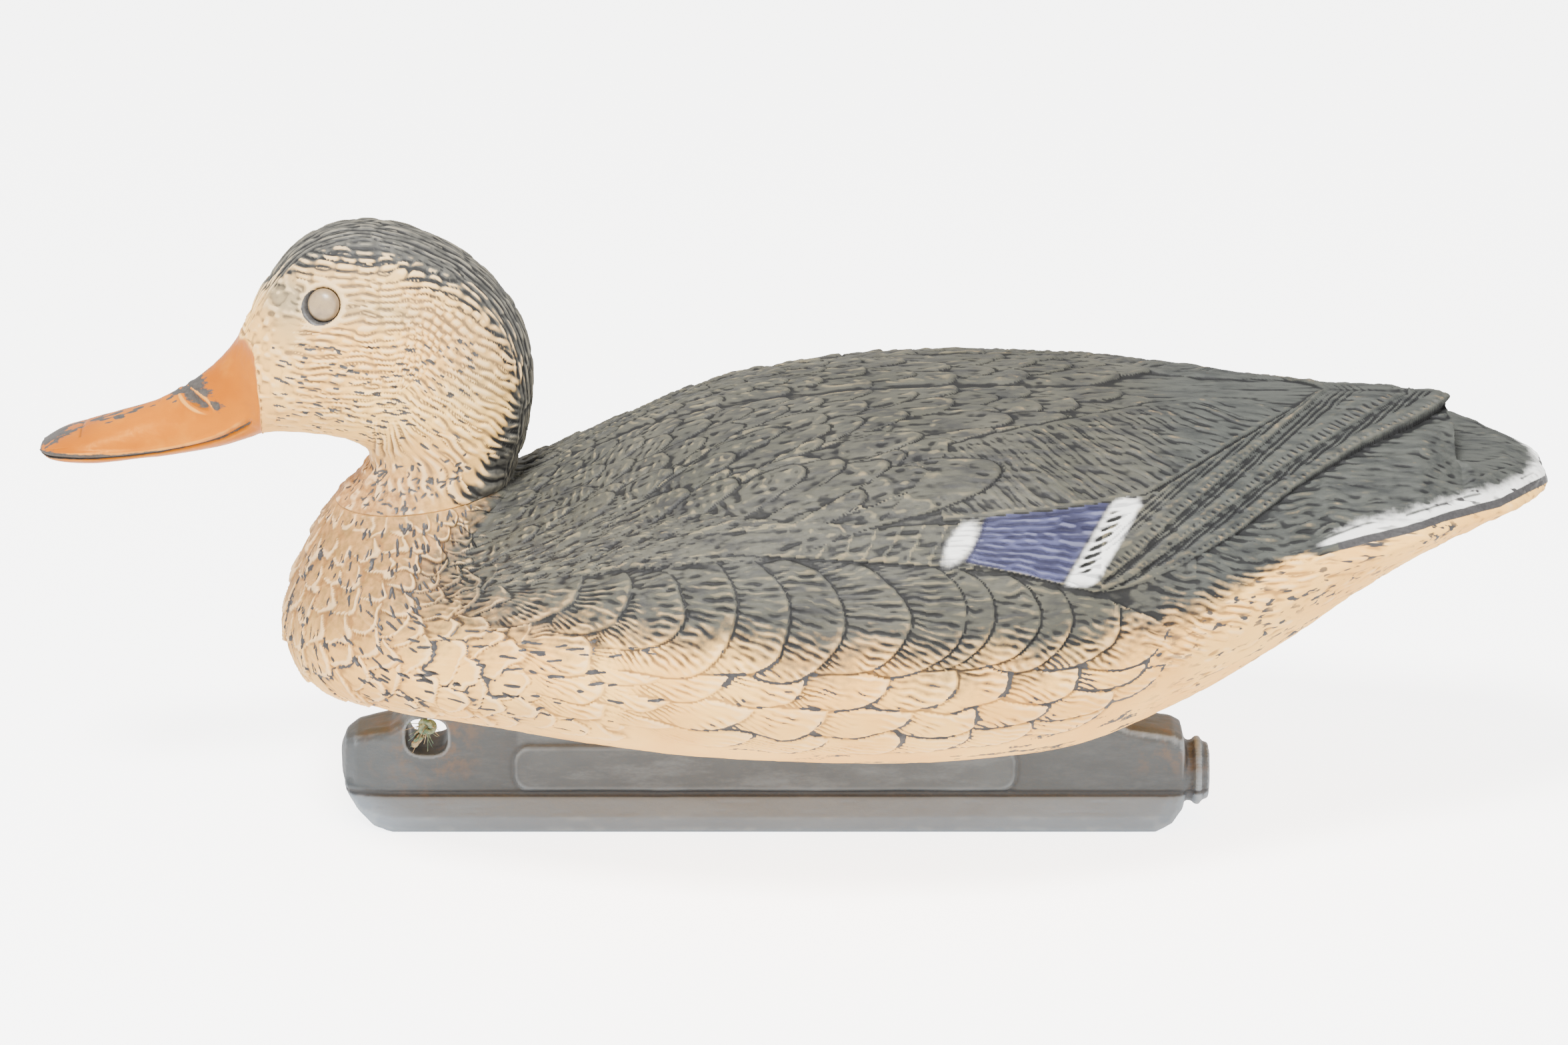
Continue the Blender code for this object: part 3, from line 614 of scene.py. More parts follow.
def body_paint():
    """Sprayed and dry-brushed matt paint on a dark plastic body, with painted highlight and shade on its
    relief.
    """
    m = Shader("body_paint")
    dark, warm = m.attribute("dark"), m.attribute("warm")
    edge, pit = m.attribute("edge"), m.attribute("pit")
    grain = m.noise(900.0, 4.0, 0.6)
    speck = m.noise(420.0, 3.0, 0.55)
    cloud = m.noise(38.0, 3.0, 0.5)
    streak = m.noise(300.0, 3.0, 0.6, m.stretched((0.28, 1.0, 1.4)))
    # the pale under paint, peach low down and browner on the breast
    pale = m.between(cloud, 0.35, 0.65, "#fbc56a", "#f2b55a")
    brown = m.between(speck, 0.3, 0.7, "#b1834b", "#896939")
    ground = m.mix(warm, pale, brown)
    # painted highlight: the pale ground lighter on raised edges; painted shade: browner in the hollows
    ground = m.shade(edge, 0.15, 0.9, ground, "#fbd6a0", 0.5)
    ground = m.shade(pit, 0.15, 0.9, ground, "#80562b", 0.62)
    # the dark top paint, tan where it was dry-brushed over the raised edges
    slate = m.between(cloud, 0.3, 0.7, "#434239", "#514f45")
    slate = m.shade(streak, 0.4, 0.7, slate, "#27272a", 0.7)
    cool = m.between(streak, 0.35, 0.75, "#444642", "#2c2e2d")
    slate = m.mix(m.attribute("cool"), slate, cool)
    dusty = m.roughened(edge, speck, 0.7)
    dusty = m.sum("MULTIPLY", m.rise(dusty, 0.35, 0.95), m.attribute("dust"))
    slate = m.mix(dusty, slate, m.mix(dark, linear("#c9ad7c"), linear("#8d8162")))
    # painted shade: the dark paint near black in the hollows
    slate = m.shade(pit, 0.1, 0.7, slate, "#0f0f11", 0.88)
    border = m.roughened(dark, speck, 0.5)
    border = m.plus(m.plus(border, edge, -0.2), pit, 0.22)
    colour = m.mix(m.rise(border, 0.14, 0.86), ground, slate)
    # blue patch and white bars of the wing, white edge of the tail
    sheen = m.noise(260.0, 2.0, 0.5, m.stretched((0.3, 1.0, 1.6)))
    violet = m.between(sheen, 0.35, 0.65, "#2a2a43", "#434464")
    # painted highlight on the blue patch's raised edges, painted shade in its hollows
    violet = m.shade(edge, 0.3, 1.0, violet, "#74758f", 0.5)
    violet = m.shade(pit, 0.1, 0.8, violet, "#17162c", 0.7)
    blue = m.roughened(m.attribute("blue"), speck, 0.25)
    colour = m.mix(m.rise(blue, 0.15, 0.85), colour, violet)
    # painted shade: the white bars greyer in the hollows
    chalk = m.shade(pit, 0.2, 0.9, linear("#ecebe6"), "#8b8a8c", 0.6)
    white = m.roughened(m.attribute("white"), speck, 0.4)
    colour = m.mix(m.rise(white, 0.2, 0.8), colour, chalk)
    # paint rubbed off to the bare dark plastic
    worn = m.noise(650.0, 3.0, 0.6)
    bare = m.roughened(m.attribute("bare"), worn, 0.9)
    bare = m.rise(bare, 0.47, 0.6)
    dashes = m.rise(m.noise(620.0, 2.0, 0.5, m.stretched((0.09, 1.0, 1.0))), 0.57, 0.63)
    bare = m.sum("MAXIMUM", bare, m.sum("MULTIPLY", dashes, m.attribute("streak")))
    colour = m.mix(bare, colour, m.mix(grain, linear("#262526"), linear("#4a4848")))
    roughness = m.mix(bare, (0.66,) * 3, (0.46,) * 3)
    bump = m.bump(grain, 0.00012, 0.5)
    bump = m.bump(streak, 0.0005, 0.5, bump)
    return m.painted(colour, roughness, grain, bump)


def head_paint():
    """Tan face, dark striated crown and the worn orange bill, with painted highlight, painted shade and a
    painted shadow by the eye.
    """
    m = Shader("head_paint")
    edge, pit = m.attribute("edge"), m.attribute("pit")
    grain = m.noise(1000.0, 4.0, 0.6)
    speck = m.noise(500.0, 3.0, 0.55)
    cloud = m.noise(45.0, 3.0, 0.5)
    face = m.between(cloud, 0.35, 0.65, "#fbc96f", "#f0b55c")
    brown = m.between(speck, 0.35, 0.65, "#b88a52", "#94693a")
    face = m.mix(m.attribute("warm"), face, brown)
    face = m.mix(m.attribute("grey"), face, linear("#a08c68"))
    # painted highlight on the face's raised edges; painted shade in its hollows and the lens's painted
    # shadow
    face = m.shade(edge, 0.15, 0.9, face, "#fbdaa6", 0.5)
    shadow = m.mix(m.attribute("grey"), linear("#73583a"), linear("#4f4638"))
    face = m.mix(m.rise(pit, 0.1, 0.8, 0.0, 0.78), face, shadow)
    crown = m.between(speck, 0.3, 0.7, "#403f3b", "#57554e")
    crown = m.shade(edge, 0.3, 1.0, crown, "#918a78", 0.5)
    # painted shade: the crown near black in its hollows
    crown = m.shade(pit, 0.1, 0.7, crown, "#131315", 0.85)
    border = m.roughened(m.attribute("dark"), speck, 0.25)
    border = m.plus(m.plus(border, edge, -0.32), pit, 0.45)
    colour = m.mix(m.rise(border, 0.3, 0.7), face, crown)
    # bill
    horn = m.between(cloud, 0.3, 0.7, "#a85803", "#bd6a06")
    horn = m.shade(m.noise(120.0, 3.0, 0.6), 0.5, 0.8, horn, "#d58a26", 0.3)
    # painted highlight on the bill's raised edges, painted shade in its hollows
    horn = m.shade(edge, 0.2, 0.9, horn, "#e0a04c", 0.7)
    horn = m.shade(pit, 0.15, 0.9, horn, "#6a3c0c", 0.6)
    colour = m.mix(m.attribute("bill"), colour, horn)
    # paint rubbed off to the bare dark plastic; the lens's painted shadow is drawn in the same dark
    scratch = m.noise(380.0, 4.0, 0.65, m.stretched((0.4, 1.0, 1.3)))
    worn = m.roughened(m.attribute("bare"), scratch, 1.1)
    worn = m.rise(worn, 0.47, 0.6)
    colour = m.mix(worn, colour, m.mix(grain, linear("#262524"), linear("#5c5957")))
    roughness = m.mix(m.attribute("bill"), (0.6,) * 3, (0.36,) * 3)
    roughness = m.mix(worn, roughness, (0.42,) * 3)
    glint = m.mix(m.attribute("bill"), (1.0, 1.0, 1.0), (1.0, 0.5, 0.1))
    bump = m.bump(grain, 0.0001, 0.5)
    return m.painted(colour, roughness, grain, bump, Specular_Tint=glint)


def keel_plastic():
    """Grey plastic scuffed lighter in patches, brown stains, painted highlight on edges and foot, painted
    shade in hollows.
    """
    m = Shader("keel_plastic")
    edge, pit = m.attribute("edge"), m.attribute("pit")
    grain = m.noise(800.0, 5.0, 0.65)
    cloud = m.noise(22.0, 4.0, 0.6)
    scuff = m.noise(140.0, 5.0, 0.7, m.stretched((0.3, 1.0, 1.0)))
    base = m.between(cloud, 0.3, 0.7, "#43494e", "#565e63")
    base = m.shade(scuff, 0.42, 0.72, base, "#727a80", 0.65)
    base = m.mix(m.sum("MULTIPLY", m.attribute("web"), 0.5), base, linear("#2c3034"))
    # painted light: the flared foot lighter and bluer, as where light falls on it
    base = m.mix(m.sum("MULTIPLY", m.attribute("foot"), 0.6), base, linear("#8895a3"))
    # painted highlight on the rounded edges, painted shade in the hollows and the crease
    base = m.shade(edge, 0.2, 0.9, base, "#909aa2", 0.65)
    base = m.shade(pit, 0.1, 0.7, base, "#2c2c2e", 0.8)
    blotch = m.rise(m.noise(160.0, 4.0, 0.65), 0.45, 0.68, 0.0, 0.8)
    base = m.mix(m.sum("MULTIPLY", m.attribute("stain"), blotch), base, linear("#73573c"))
    roughness = m.rise(scuff, 0.3, 0.75, 0.4, 0.6)
    bump = m.bump(grain, 0.00015, 0.6)
    bump = m.bump(scuff, 0.0004, 0.35, bump)
    return m.finish(base, roughness, bump)


def eye_plastic():
    """Greyish tan painted plastic lens, darker towards its rim."""
    m = Shader("eye_plastic")
    rim = m.attribute("rim")
    cloud = m.noise(320.0, 3.0, 0.6)
    base = m.between(cloud, 0.35, 0.7, "#9c8666", "#83705a")
    base = m.mix(m.sum("MULTIPLY", rim, 0.35), base, linear("#6b5a42"))
    return m.finish(base, m.rise(cloud, 0.3, 0.7, 0.26, 0.4), m.bump(cloud, 0.00012, 0.5))


def twine_fibre(name, green):
    """Old twine: laid fibres, tan with green, darker in the hollows of its fine grain."""
    m = Shader(name)
    fine = m.noise(2600.0, 3.0, 0.6)
    patch = m.noise(300.0, 3.0, 0.6)
    base = m.between(patch, 0.4, 0.6, "#a98f68", "#c6b48e")
    if green:
        base = m.between(patch, 0.42, 0.6, "#4f7a62", "#9aa987")
    base = m.mix(m.rise(fine, 0.35, 0.7, 0.6, 0.0), base, linear("#5b5040"))
    return m.finish(base, 0.85, m.bump(fine, 0.0002, 0.8))


def ballast_metal():
    """Cast lead-grey weight."""
    m = Shader("ballast")
    cloud = m.noise(90.0, 4.0, 0.6)
    base = m.between(cloud, 0.3, 0.7, "#6c6e72", "#8b8d90")
    roughness = m.rise(cloud, 0.3, 0.7, 0.5, 0.7)
    return m.finish(base, roughness, m.bump(cloud, 0.0004, 0.6), Metallic=0.7)


# ---------------------------------------------------------------- camera and twine come first


def make_camera():
    data = bpy.data.cameras.new("camera")
    data.sensor_width = 36.0
    data.lens = CAMERA_LENS
    data.clip_start, data.clip_end = 0.1, 20.0
    camera = placed("camera", data)
    camera.location = (
        CAMERA_AIM[0],
        -CAMERA_REACH * math.cos(SIDE_VIEW),
        CAMERA_AIM[1] + CAMERA_REACH * math.sin(SIDE_VIEW),
    )
    way = Vector((0.0, math.cos(SIDE_VIEW), -math.sin(SIDE_VIEW)))
    camera.rotation_euler = way.to_track_quat("-Z", "Y").to_euler()
    bpy.context.scene.camera = camera


def mesh_object(name, points, faces, material):
    """A smooth-shaded object from points in millimetres."""
    mesh = bpy.data.meshes.new(name)
    mesh.from_pydata([tuple(float(c) * MM for c in p) for p in points], [], faces)
    mesh.update()
    mesh.shade_smooth()
    mesh.materials.append(material)
    return placed(name, mesh)


def second_material(piece, material, marks):
    """Give the marked faces another material."""
    piece.data.materials.append(material)
    piece.data.polygons.foreach_set("material_index", np.array(marks, np.int32))


def even_route(route, gap):
    """Points at even gaps along a smooth curve through the route, and its length."""
    fine = spline(route, np.linspace(0, len(route) - 1, 40 * len(route)))
    reach = np.concatenate(([0.0], np.cumsum(np.linalg.norm(np.diff(fine, axis=0), axis=1))))
    stops = np.linspace(0, reach[-1], int(reach[-1] / gap) + 1)
    return np.stack([np.interp(stops, reach, fine[:, i]) for i in range(3)], axis=1), reach[-1]


def tube_rings(centre, radius, sides):
    """Rings about a line of points, with frames carried along it."""
    way = np.gradient(centre, axis=0)
    way /= np.linalg.norm(way, axis=1, keepdims=True) + 1e-9
    side = np.cross(way[0], (0.3, 0.4, 0.86))
    side /= np.linalg.norm(side)
    rings = []
    for c, w, r in zip(centre, way, np.broadcast_to(radius, len(centre))):
        side = side - w * (side @ w)
        side /= np.linalg.norm(side) + 1e-9
        up = np.cross(w, side)
        a = np.linspace(0, 2 * np.pi, sides, endpoint=False)[:, None]
        rings.append(c + r * (np.cos(a) * side + np.sin(a) * up))
    return rings


def add_tube(points, faces, rings):
    """Join rings into a tube with flat ends."""
    start, sides = len(points), len(rings[0])
    for ring in rings:
        points.extend(ring)
    for i in range(len(rings) - 1):
        for k in range(sides):
            a, b = start + i * sides + k, start + i * sides + (k + 1) % sides
            faces.append((a, b, b + sides, a + sides))
    faces.append(tuple(range(start + sides - 1, start - 1, -1)))
    last = start + (len(rings) - 1) * sides
    faces.append(tuple(range(last, last + sides)))


def make_twine():
    """Three laid strands round the bridge over the anchor hole, their knot and frayed ends."""
    tan, green = twine_fibre("twine_tan", False), twine_fibre("twine_green", True)
    centre, length = even_route(CORD_ROUTE, 0.35)
    points, faces = [], []
    way = np.gradient(centre, axis=0)
    way /= np.linalg.norm(way, axis=1, keepdims=True)
    side = np.cross(way, (0.11, 0.05, 0.99))
    side /= np.linalg.norm(side, axis=1, keepdims=True)
    up = np.cross(way, side)
    turn = np.linspace(0, 2 * np.pi * length / 7.0, len(centre))
    marks = []
    for k in range(3):
        a = (turn + 2 * np.pi * k / 3)[:, None]
        strand = centre + 0.46 * (np.cos(a) * side + np.sin(a) * up)
        before = len(faces)
        add_tube(points, faces, tube_rings(strand, 0.52, 9))
        marks += [int(k == 1)] * (len(faces) - before)
    loop = mesh_object("twine_loop", points, faces, tan)
    second_material(loop, green, marks)
    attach(loop, "hull")
    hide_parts("anchor_cord")
    # the knot: a short length wound tightly round itself
    a = np.linspace(0, 2 * np.pi, 150)
    wound = np.stack(
        (
            1.55 * np.cos(2 * a) * (1 + 0.32 * np.cos(3 * a)),
            0.75 * np.sin(3 * a),
            1.35 * np.sin(2 * a) * (1 + 0.32 * np.cos(3 * a)),
        ),
        axis=1,
    )
    points, faces = [], []
    add_tube(points, faces, tube_rings(KNOT_CENTRE + wound, 0.72, 10))
    knot = mesh_object("twine_knot", points, faces, green)
    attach(knot, "hull")
    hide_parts("anchor_knot")
    # frayed fibres that stand out of the knot
    rng = np.random.default_rng(5)
    points, faces, marks = [], [], []
    for k in range(34):
        out = np.array((rng.normal(-0.25, 0.9), -abs(rng.normal(0.2, 0.3)), rng.normal(-0.25, 0.8)))
        out /= np.linalg.norm(out)
        far = rng.uniform(2.4, 5.4)
        t = np.linspace(0, 1, 9)[:, None]
        curl = rng.normal(0, 1.0, 3)
        line = KNOT_CENTRE + out * far * t + curl * t**2 + np.array((0, 0, -1.1)) * t**2
        line = line + 0.16 * np.sin(6 * t + rng.uniform(0, 6)) * rng.normal(0, 1, 3)
        line[:, 1] = np.minimum(line[:, 1], KNOT_CENTRE[1] + 1.2)
        before = len(faces)
        add_tube(points, faces, tube_rings(line, 0.16 * (1 - 0.6 * t[:, 0]), 5))
        marks += [k % 2] * (len(faces) - before)
    fray = mesh_object("twine_fray", points, faces, tan)
    second_material(fray, green, marks)
    fray.parent = knot
    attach(fray, "hull")


# ---------------------------------------------------------------- sculpting the body


def line(points):
    """A piecewise curve through (place, value) pairs, as a function."""
    xs, ys = zip(*points)
    xs, ys = np.array(xs, float), np.array(ys, float)
    return lambda value: np.interp(value, xs, ys)


# where the dark top paint ends, in degrees from the back line at each station
DARK_BORDER = line((
    (0, 50), (2, 57), (4, 65), (5, 67), (6, 70), (7, 73), (8, 79), (9, 84), (10, 87), (11, 88),
    (12, 85), (13, 76), (13.5, 71), (15, 64), (16, 62), (17, 58), (20, 60),
))
# the wing's lower edge, and the big lowest back feather's, as heights in the side layout
WING_EDGE = line((
    (-72, 70), (-51, 70.5), (-33, 71.7), (-16, 73), (7, 71.8), (28, 70.6), (41, 69.8),
    (56, 67.8), (66, 65.6), (80, 61.8), (92, 57), (106, 49),
))
TERTIAL_TOP = line((
    (40, 101), (49, 103.5), (64, 106.5), (79, 109.3), (93, 112), (106, 114), (121, 113.6),
    (133.5, 111.4),
))
TERTIAL_LOW = line((
    (27, 80), (46, 82), (66, 84), (77, 85.5), (91, 88), (99.6, 92.5), (116, 102), (133.5, 111.4),
))
SPECULUM_LOW = line(((36, 71), (43, 70.9), (56, 68.4), (68, 65.6), (77, 63.4)))
# the white edge of the tail, by its lower line and its width
TAIL_BAND_LOW = line((
    (137, 74.6), (148.5, 77.5), (161, 80.3), (171, 83.6), (187, 87.5), (196, 91.6), (203, 94.4),
))
TAIL_BAND_WIDTH = line((
    (135, 3.0), (149, 5.6), (161, 5.4), (172, 4.7), (185, 4.9), (195, 4.2), (203, 4),
))
# the lines between the wing's quill bands, from the upper one down
BANDS = (
    line(((80, 79), (91, 86), (97.4, 91), (116, 101.6), (133.5, 111.4), (141, 116.5), (150, 121))),
    line(((80, 66.5), (87.3, 71.8), (96.2, 80), (119, 97.8), (144, 117.1), (150, 121))),
    line(((80, 63.6), (86, 66.4), (97, 74), (130, 96.4), (166, 116.8), (176, 121))),
    line((
        (76, 62.4), (87, 64.6), (98, 68.9), (115, 78.5), (132.4, 91.2), (150.4, 101.9),
        (166.5, 109.2), (176.5, 114.8),
    )),
)


def laid(phase, along, run, seed, sharp=0.8):
    """Ridges broken into short lengths, staggered and no two quite alike."""
    number = np.round(phase)
    row = number.astype(np.int64)
    start = 7.0 * lattice(row, 0 * row, 0 * row, seed)
    stretch = 0.8 + 0.5 * lattice(row, 0 * row, 0 * row + 3, seed)
    part = along / (run * stretch) + start
    piece = np.floor(part)
    t, cell = part - piece, piece.astype(np.int64)
    drift = 0.62 * (lattice(row, cell, 0 * row + 1, seed) - 0.5)
    tall = 0.4 + 0.6 * lattice(row, cell, 0 * row + 2, seed)
    ends = hump(t, 0.0, 0.3, 0.62, 1.0)
    body = ridge(phase - number + drift * ends, sharp)
    return body * (0.2 + 0.8 * ends * tall)


def longest_feather(hull, high, low, deep, lip):
    """The longest back feather, whose tip lies over the long one behind it."""
    i, k = hull.at_side(24, 88.6)
    barbs = ("level", 1.5, deep)
    hull.feather(
        i, k, 17, 62, 19, high, round_tip=2.3, low=low, barbs=barbs, bend=-0.02, tone=0.2, lip=lip
    )


def back_feathers(hull, rng):
    """Mantle and scapular feathers, rear ones first so that each front one lies over the next."""
    size = line(((3.6, 6.0), (5, 8.5), (7, 11), (9, 13), (12, 13.5)))
    last = line(((3.6, 30), (5, 44), (7, 45), (9, 44), (10, 40), (10.5, 22), (11.5, 14)))
    for i, k, wide in hull.spots(rng, 11.2, 3.6, size, lambda s: 2.0, last, 0.86):
        x, b = hull.x[i, k], hull.b[i, k]
        steep = np.interp(x, (-60, -10, 20, 45, 70), (24, 34, 28, 16, 8)) - 10 * (b < 8)
        hull.feather(
            i, k, steep + rng.normal(0, 4), wide * np.interp(x, (-50, 0, 60), (2.8, 2.9, 2.4)),
            wide * rng.uniform(0.95, 1.2), rng.uniform(1.2, 1.75),
            round_tip=rng.uniform(1.9, 2.5), low=0.02,
            barbs=("level", rng.uniform(1.3, 1.8), 0.34), bend=-0.1, tone=rng.uniform(-1, 1),
            edge=0.4, lip=0.12, ragged=0.08,
        )
    # the ones that show whole from the side: tip x, tip height, length, width, way
    named = (
        (57, 109.6, 30, 12, 14), (72, 109.5, 26, 9, 12), (36.7, 95.2, 34, 13, 22),
        (18.3, 90.0, 34, 11, 30), (23.6, 98.8, 42, 12.5, 34), (12.4, 98.2, 30, 12, 34),
        (3.0, 96.8, 38, 12, 36), (-14, 92.3, 34, 11.5, 36), (-16, 99.0, 26, 10, 36),
        (-31.5, 94.4, 32, 10.5, 36), (-27, 88.0, 28, 9, 30), (-46, 88, 26, 9, 34),
        (10, 109.5, 34, 10, 36), (-3, 108.0, 34, 9.5, 36), (33, 105.5, 34, 11, 24),
    )
    longest_feather(hull, high=1.5, low=0.25, deep=0.3, lip=0.2)
    for x, v, length, width, angle in sorted(named, key=lambda f: f[0] - 0.8 * f[1], reverse=True):
        a = math.radians(angle - 4)
        i, k = hull.at_side(x - 0.5 * length * math.cos(a), v - 0.47 * length * math.sin(a))
        hull.feather(
            i, k, angle, length, width, rng.uniform(1.3, 1.6), round_tip=2.2, low=0.05,
            barbs=("level", rng.uniform(1.3, 1.8), 0.36), bend=-0.1, tone=rng.uniform(-1, 1),
            lip=0.15, ragged=0.07,
        )


def wing_panels(hull):
    """Covert blocks, the blue patch, the long lowest back feather and the wing's quill bands."""
    x, v, h = hull.x, hull.v, hull.h
    side = hull.b < 100
    warp = noise(hull.p, 5.0, 21)
    fine = noise(hull.p, 2.0, 22)
    hair = noise(hull.p, 1.1, 23, stretch=(0.2, 1, 1))
    wing = side & (v > WING_EDGE(x))
    # small coverts along the wing's lower edge
    covert_top = np.interp(x, (-66, -40, 0, 40), (75, 77, 79.4, 80.6))
    row = (x > -45) & (x < 46) & wing & (v < covert_top)
    phase = (x - 0.55 * (v - 71) + 0.8 * fine) / 5.7
    lane = phase - np.floor(phase)
    seam = bell(np.minimum(lane, 1 - lane) * 5.7, 0.45) * step(x, -6, 4)
    barbs = laid((v - 0.05 * x + 0.3 * warp) / 1.9, x, 6.0, 3)
    block = 0.42 + 0.32 * seam + 0.12 * hair + 0.3 * barbs
    share = step(x, -45, -8)
    h[row] = (block * share + h * (1 - share))[row]
    hull.rim[row] = 0
    hull.tone[row] = 0.1
    # the blue patch between its two white bars
    low, top = SPECULUM_LOW(x), np.minimum(TERTIAL_LOW(x), 89)
    front_line = x - 0.5 * (v - 71)
    inside = side & (front_line > 37.2) & (v < top) & (v > low) & (x < 94 - (88 - v) * 0.62)
    across = (v - low) / np.maximum(top - low, 1)
    flow = across * 9 + 0.3 * warp + 0.12 * fine
    value = 0.45 + 0.55 * ridge(flow, 0.7) + 0.12 * hair
    bar_line = x - 0.62 * (v - 65.5)
    rungs = ridge((v - 0.35 * x) / 1.8 + 0.12 * warp, 1.3)
    ladder = np.exp(-(((bar_line - 72.4) / 1.9) ** 4)) * hump(v, 67.5, 69, 83, 85)
    value = value - 0.7 * ladder * (1 - rungs) - 0.35 * bell(front_line - 44.4, 0.4)
    h[inside] = value[inside]
    hull.rim[inside] = 0
    left = bell((front_line - 40.3) / 3.1, 1.15) * np.exp(-np.abs((v - 75.8) / 5.4) ** 2.2)
    right = hump(bar_line, 67.0, 72.0, 75.0, 79.5) * hump(v, 63.5, 66, 85, 89)
    near_patch = side & (x > 30) & (v < top + 0.6)
    cut = 1 - 1.1 * ladder * (1 - rungs)
    hull.paint["white"] = np.where(near_patch, np.clip(1.15 * left + right * cut, 0, 1), 0)
    patch = step(front_line, 41.7, 45.7) * (1 - step(bar_line, 66.5, 71.0))
    patch = patch * step(v, low - 0.5, low + 1.0)
    hull.paint["blue"] = np.where(side & (v < top) & (v > low - 1.0), patch, 0)
    # the long lowest back feather over it
    up, down = TERTIAL_TOP(x), TERTIAL_LOW(x)
    inside = side & (x > 38) & (x < 133.4) & (v < up) & (v > down)
    droop = line(((38, 42), (60, 20), (80, 4), (100, -6), (115, -9), (133, -10)))
    fan = (v - 95 - droop(x)) / np.interp(x, (40, 80, 110, 133), (2.3, 2.1, 1.8, 1.5))
    barb = laid(fan + 0.3 * warp + 0.08 * fine, x + 0.6 * v, 15.0, 6, 0.55)
    to_edge = np.minimum(v - down, up - v)
    camber = 1.0 + 0.5 * step(v - down, 0, 7) - 0.25 * step(up - v, 4, 0)
    covered = np.interp(x, (38, 62), (0.6, 1.0))
    value = camber + 0.6 * (barb - 0.5) * step(to_edge, 0.4, 1.8)
    value = value * covered * (0.4 + 0.6 * step(to_edge, -0.1, 0.5))
    value = value + 0.25 * bell((v - down) - 0.9, 0.55) + 0.08 * hair
    h[inside] = value[inside]
    hull.rim[inside] = (1 - step(to_edge, 0.3, 1.4))[inside]
    hull.tone[inside] = 0.4
    # quill bands, the upper ones over the lower: each has a smooth raised quill with short deep
    # notches above it and slanted barbs below
    lines = [band(x) for band in BANDS]
    quill = 0.42
    for n in (2, 1, 0):
        up, down = lines[n], lines[n + 1]
        inside = side & (x > 79) & (v < np.maximum(up, down)) & (v >= down)
        inside &= v - 0.55 * x > 16.5 - 5 * (n == 2)
        inside &= ~((x < 133.4) & (v > TERTIAL_LOW(x)))
        depth = np.maximum(up - down, 1.2)
        part = np.clip((v - down) / depth, 0, 1)
        notches = ridge((x - 1.2 * v) / 1.9 + 0.25 * warp, 0.8)
        barbs = ridge((x + 2.0 * v) / 3.2 + 0.4 * warp, 0.9)
        value = 1.25 - 0.3 * n - 0.2 * part
        value = value + 0.22 * bell((part - quill) * depth, 0.75)
        above = hump(part, quill + 0.1, quill + 0.2, 0.86, 0.95)
        below = (1 - step(part, quill - 0.2, quill - 0.08)) * step(part * depth, 0.6, 1.2)
        value = value - 0.6 * (1 - notches) * above + 0.5 * (barbs - 0.5) * below
        value = value + 0.15 * bell((v - down) - 0.7, 0.5)
        value = value * (0.3 + 0.7 * step((v - down), -0.1, 0.45))
        h[inside] = value[inside]
        hull.rim[inside] = (1 - step(v - down, 0.3, 1.2))[inside]
        hull.tone[inside] = 0.3 - 0.3 * n
    # the wing tip stands over the tail, so the tail is cut back under its edge
    gap = lines[3] - v
    depth = np.interp(x, (104, 135, 160, 178), (0.5, 1.1, 2.4, 3.0))
    fade = np.exp(-np.clip(gap, 0, None) / np.interp(x, (104, 160), (3.0, 5.0)))
    h -= np.where(side & (x > 104) & (gap > 0), depth * fade, 0)
    # the step down from the wing to the flank
    gap = WING_EDGE(x) - v
    fade = np.exp(-np.clip(gap, 0, None) / 1.3)
    h -= np.where(side & (x < 82) & (x > -50) & (gap > 0), 0.8 * step(x, -50, -20) * fade, 0)


def flank_feathers(hull, rng):
    """Big scalloped side feathers in rows, each with thick barbs fanned out to its edge."""
    # tips of each row's feathers in the side layout, from the lowest row up
    rows = (
        ((80, 30), (62, 26), (45, 24), (28, 23), (10, 25), (-8, 27), (-28, 30), (-48, 33)),
        (
            (98, 41), (84, 36), (66, 33), (48, 31), (29, 30.5), (9, 32), (-11, 34), (-31, 36),
            (-50, 38),
        ),
        (
            (106, 50), (93, 44), (75, 41), (57, 39), (42, 38.5), (24, 40), (4, 41), (-15, 42),
            (-33, 43), (-51, 45),
        ),
        (
            (99, 54), (85, 53.5), (71, 53), (62, 53), (52, 52.4), (44, 52.5), (28, 52.6),
            (13, 52.4), (-1, 53.5), (-14, 54), (-28, 55), (-42, 57), (-54, 60),
        ),
    )
    highs, depths = (1.1, 1.15, 1.2, 1.5), (0.34, 0.4, 0.44, 0.46)
    for level, spots in enumerate(rows):
        for x, v in sorted(spots, reverse=True):
            top = level == 3
            length, width = (36, 33) if top else (32, 22)
            if x < -20:
                length, width = length * 0.72, width * 0.66
            length, width = length * rng.uniform(0.92, 1.06), width * rng.uniform(0.92, 1.06)
            i, k = hull.at_side(x - 0.48 * length, v + (4.5 if top else 3.0))
            hull.feather(
                i, k, rng.normal(-16 if top else -12, 4), length, width, highs[level],
                round_tip=2.1, low=0.0, barbs=("fan", rng.uniform(1.6, 1.95), depths[level]),
                edge=0.8, bend=rng.normal(0.0, 0.03), tone=rng.uniform(-1, 1), ragged=0.12,
                inside=hull.v < WING_EDGE(hull.x),
            )


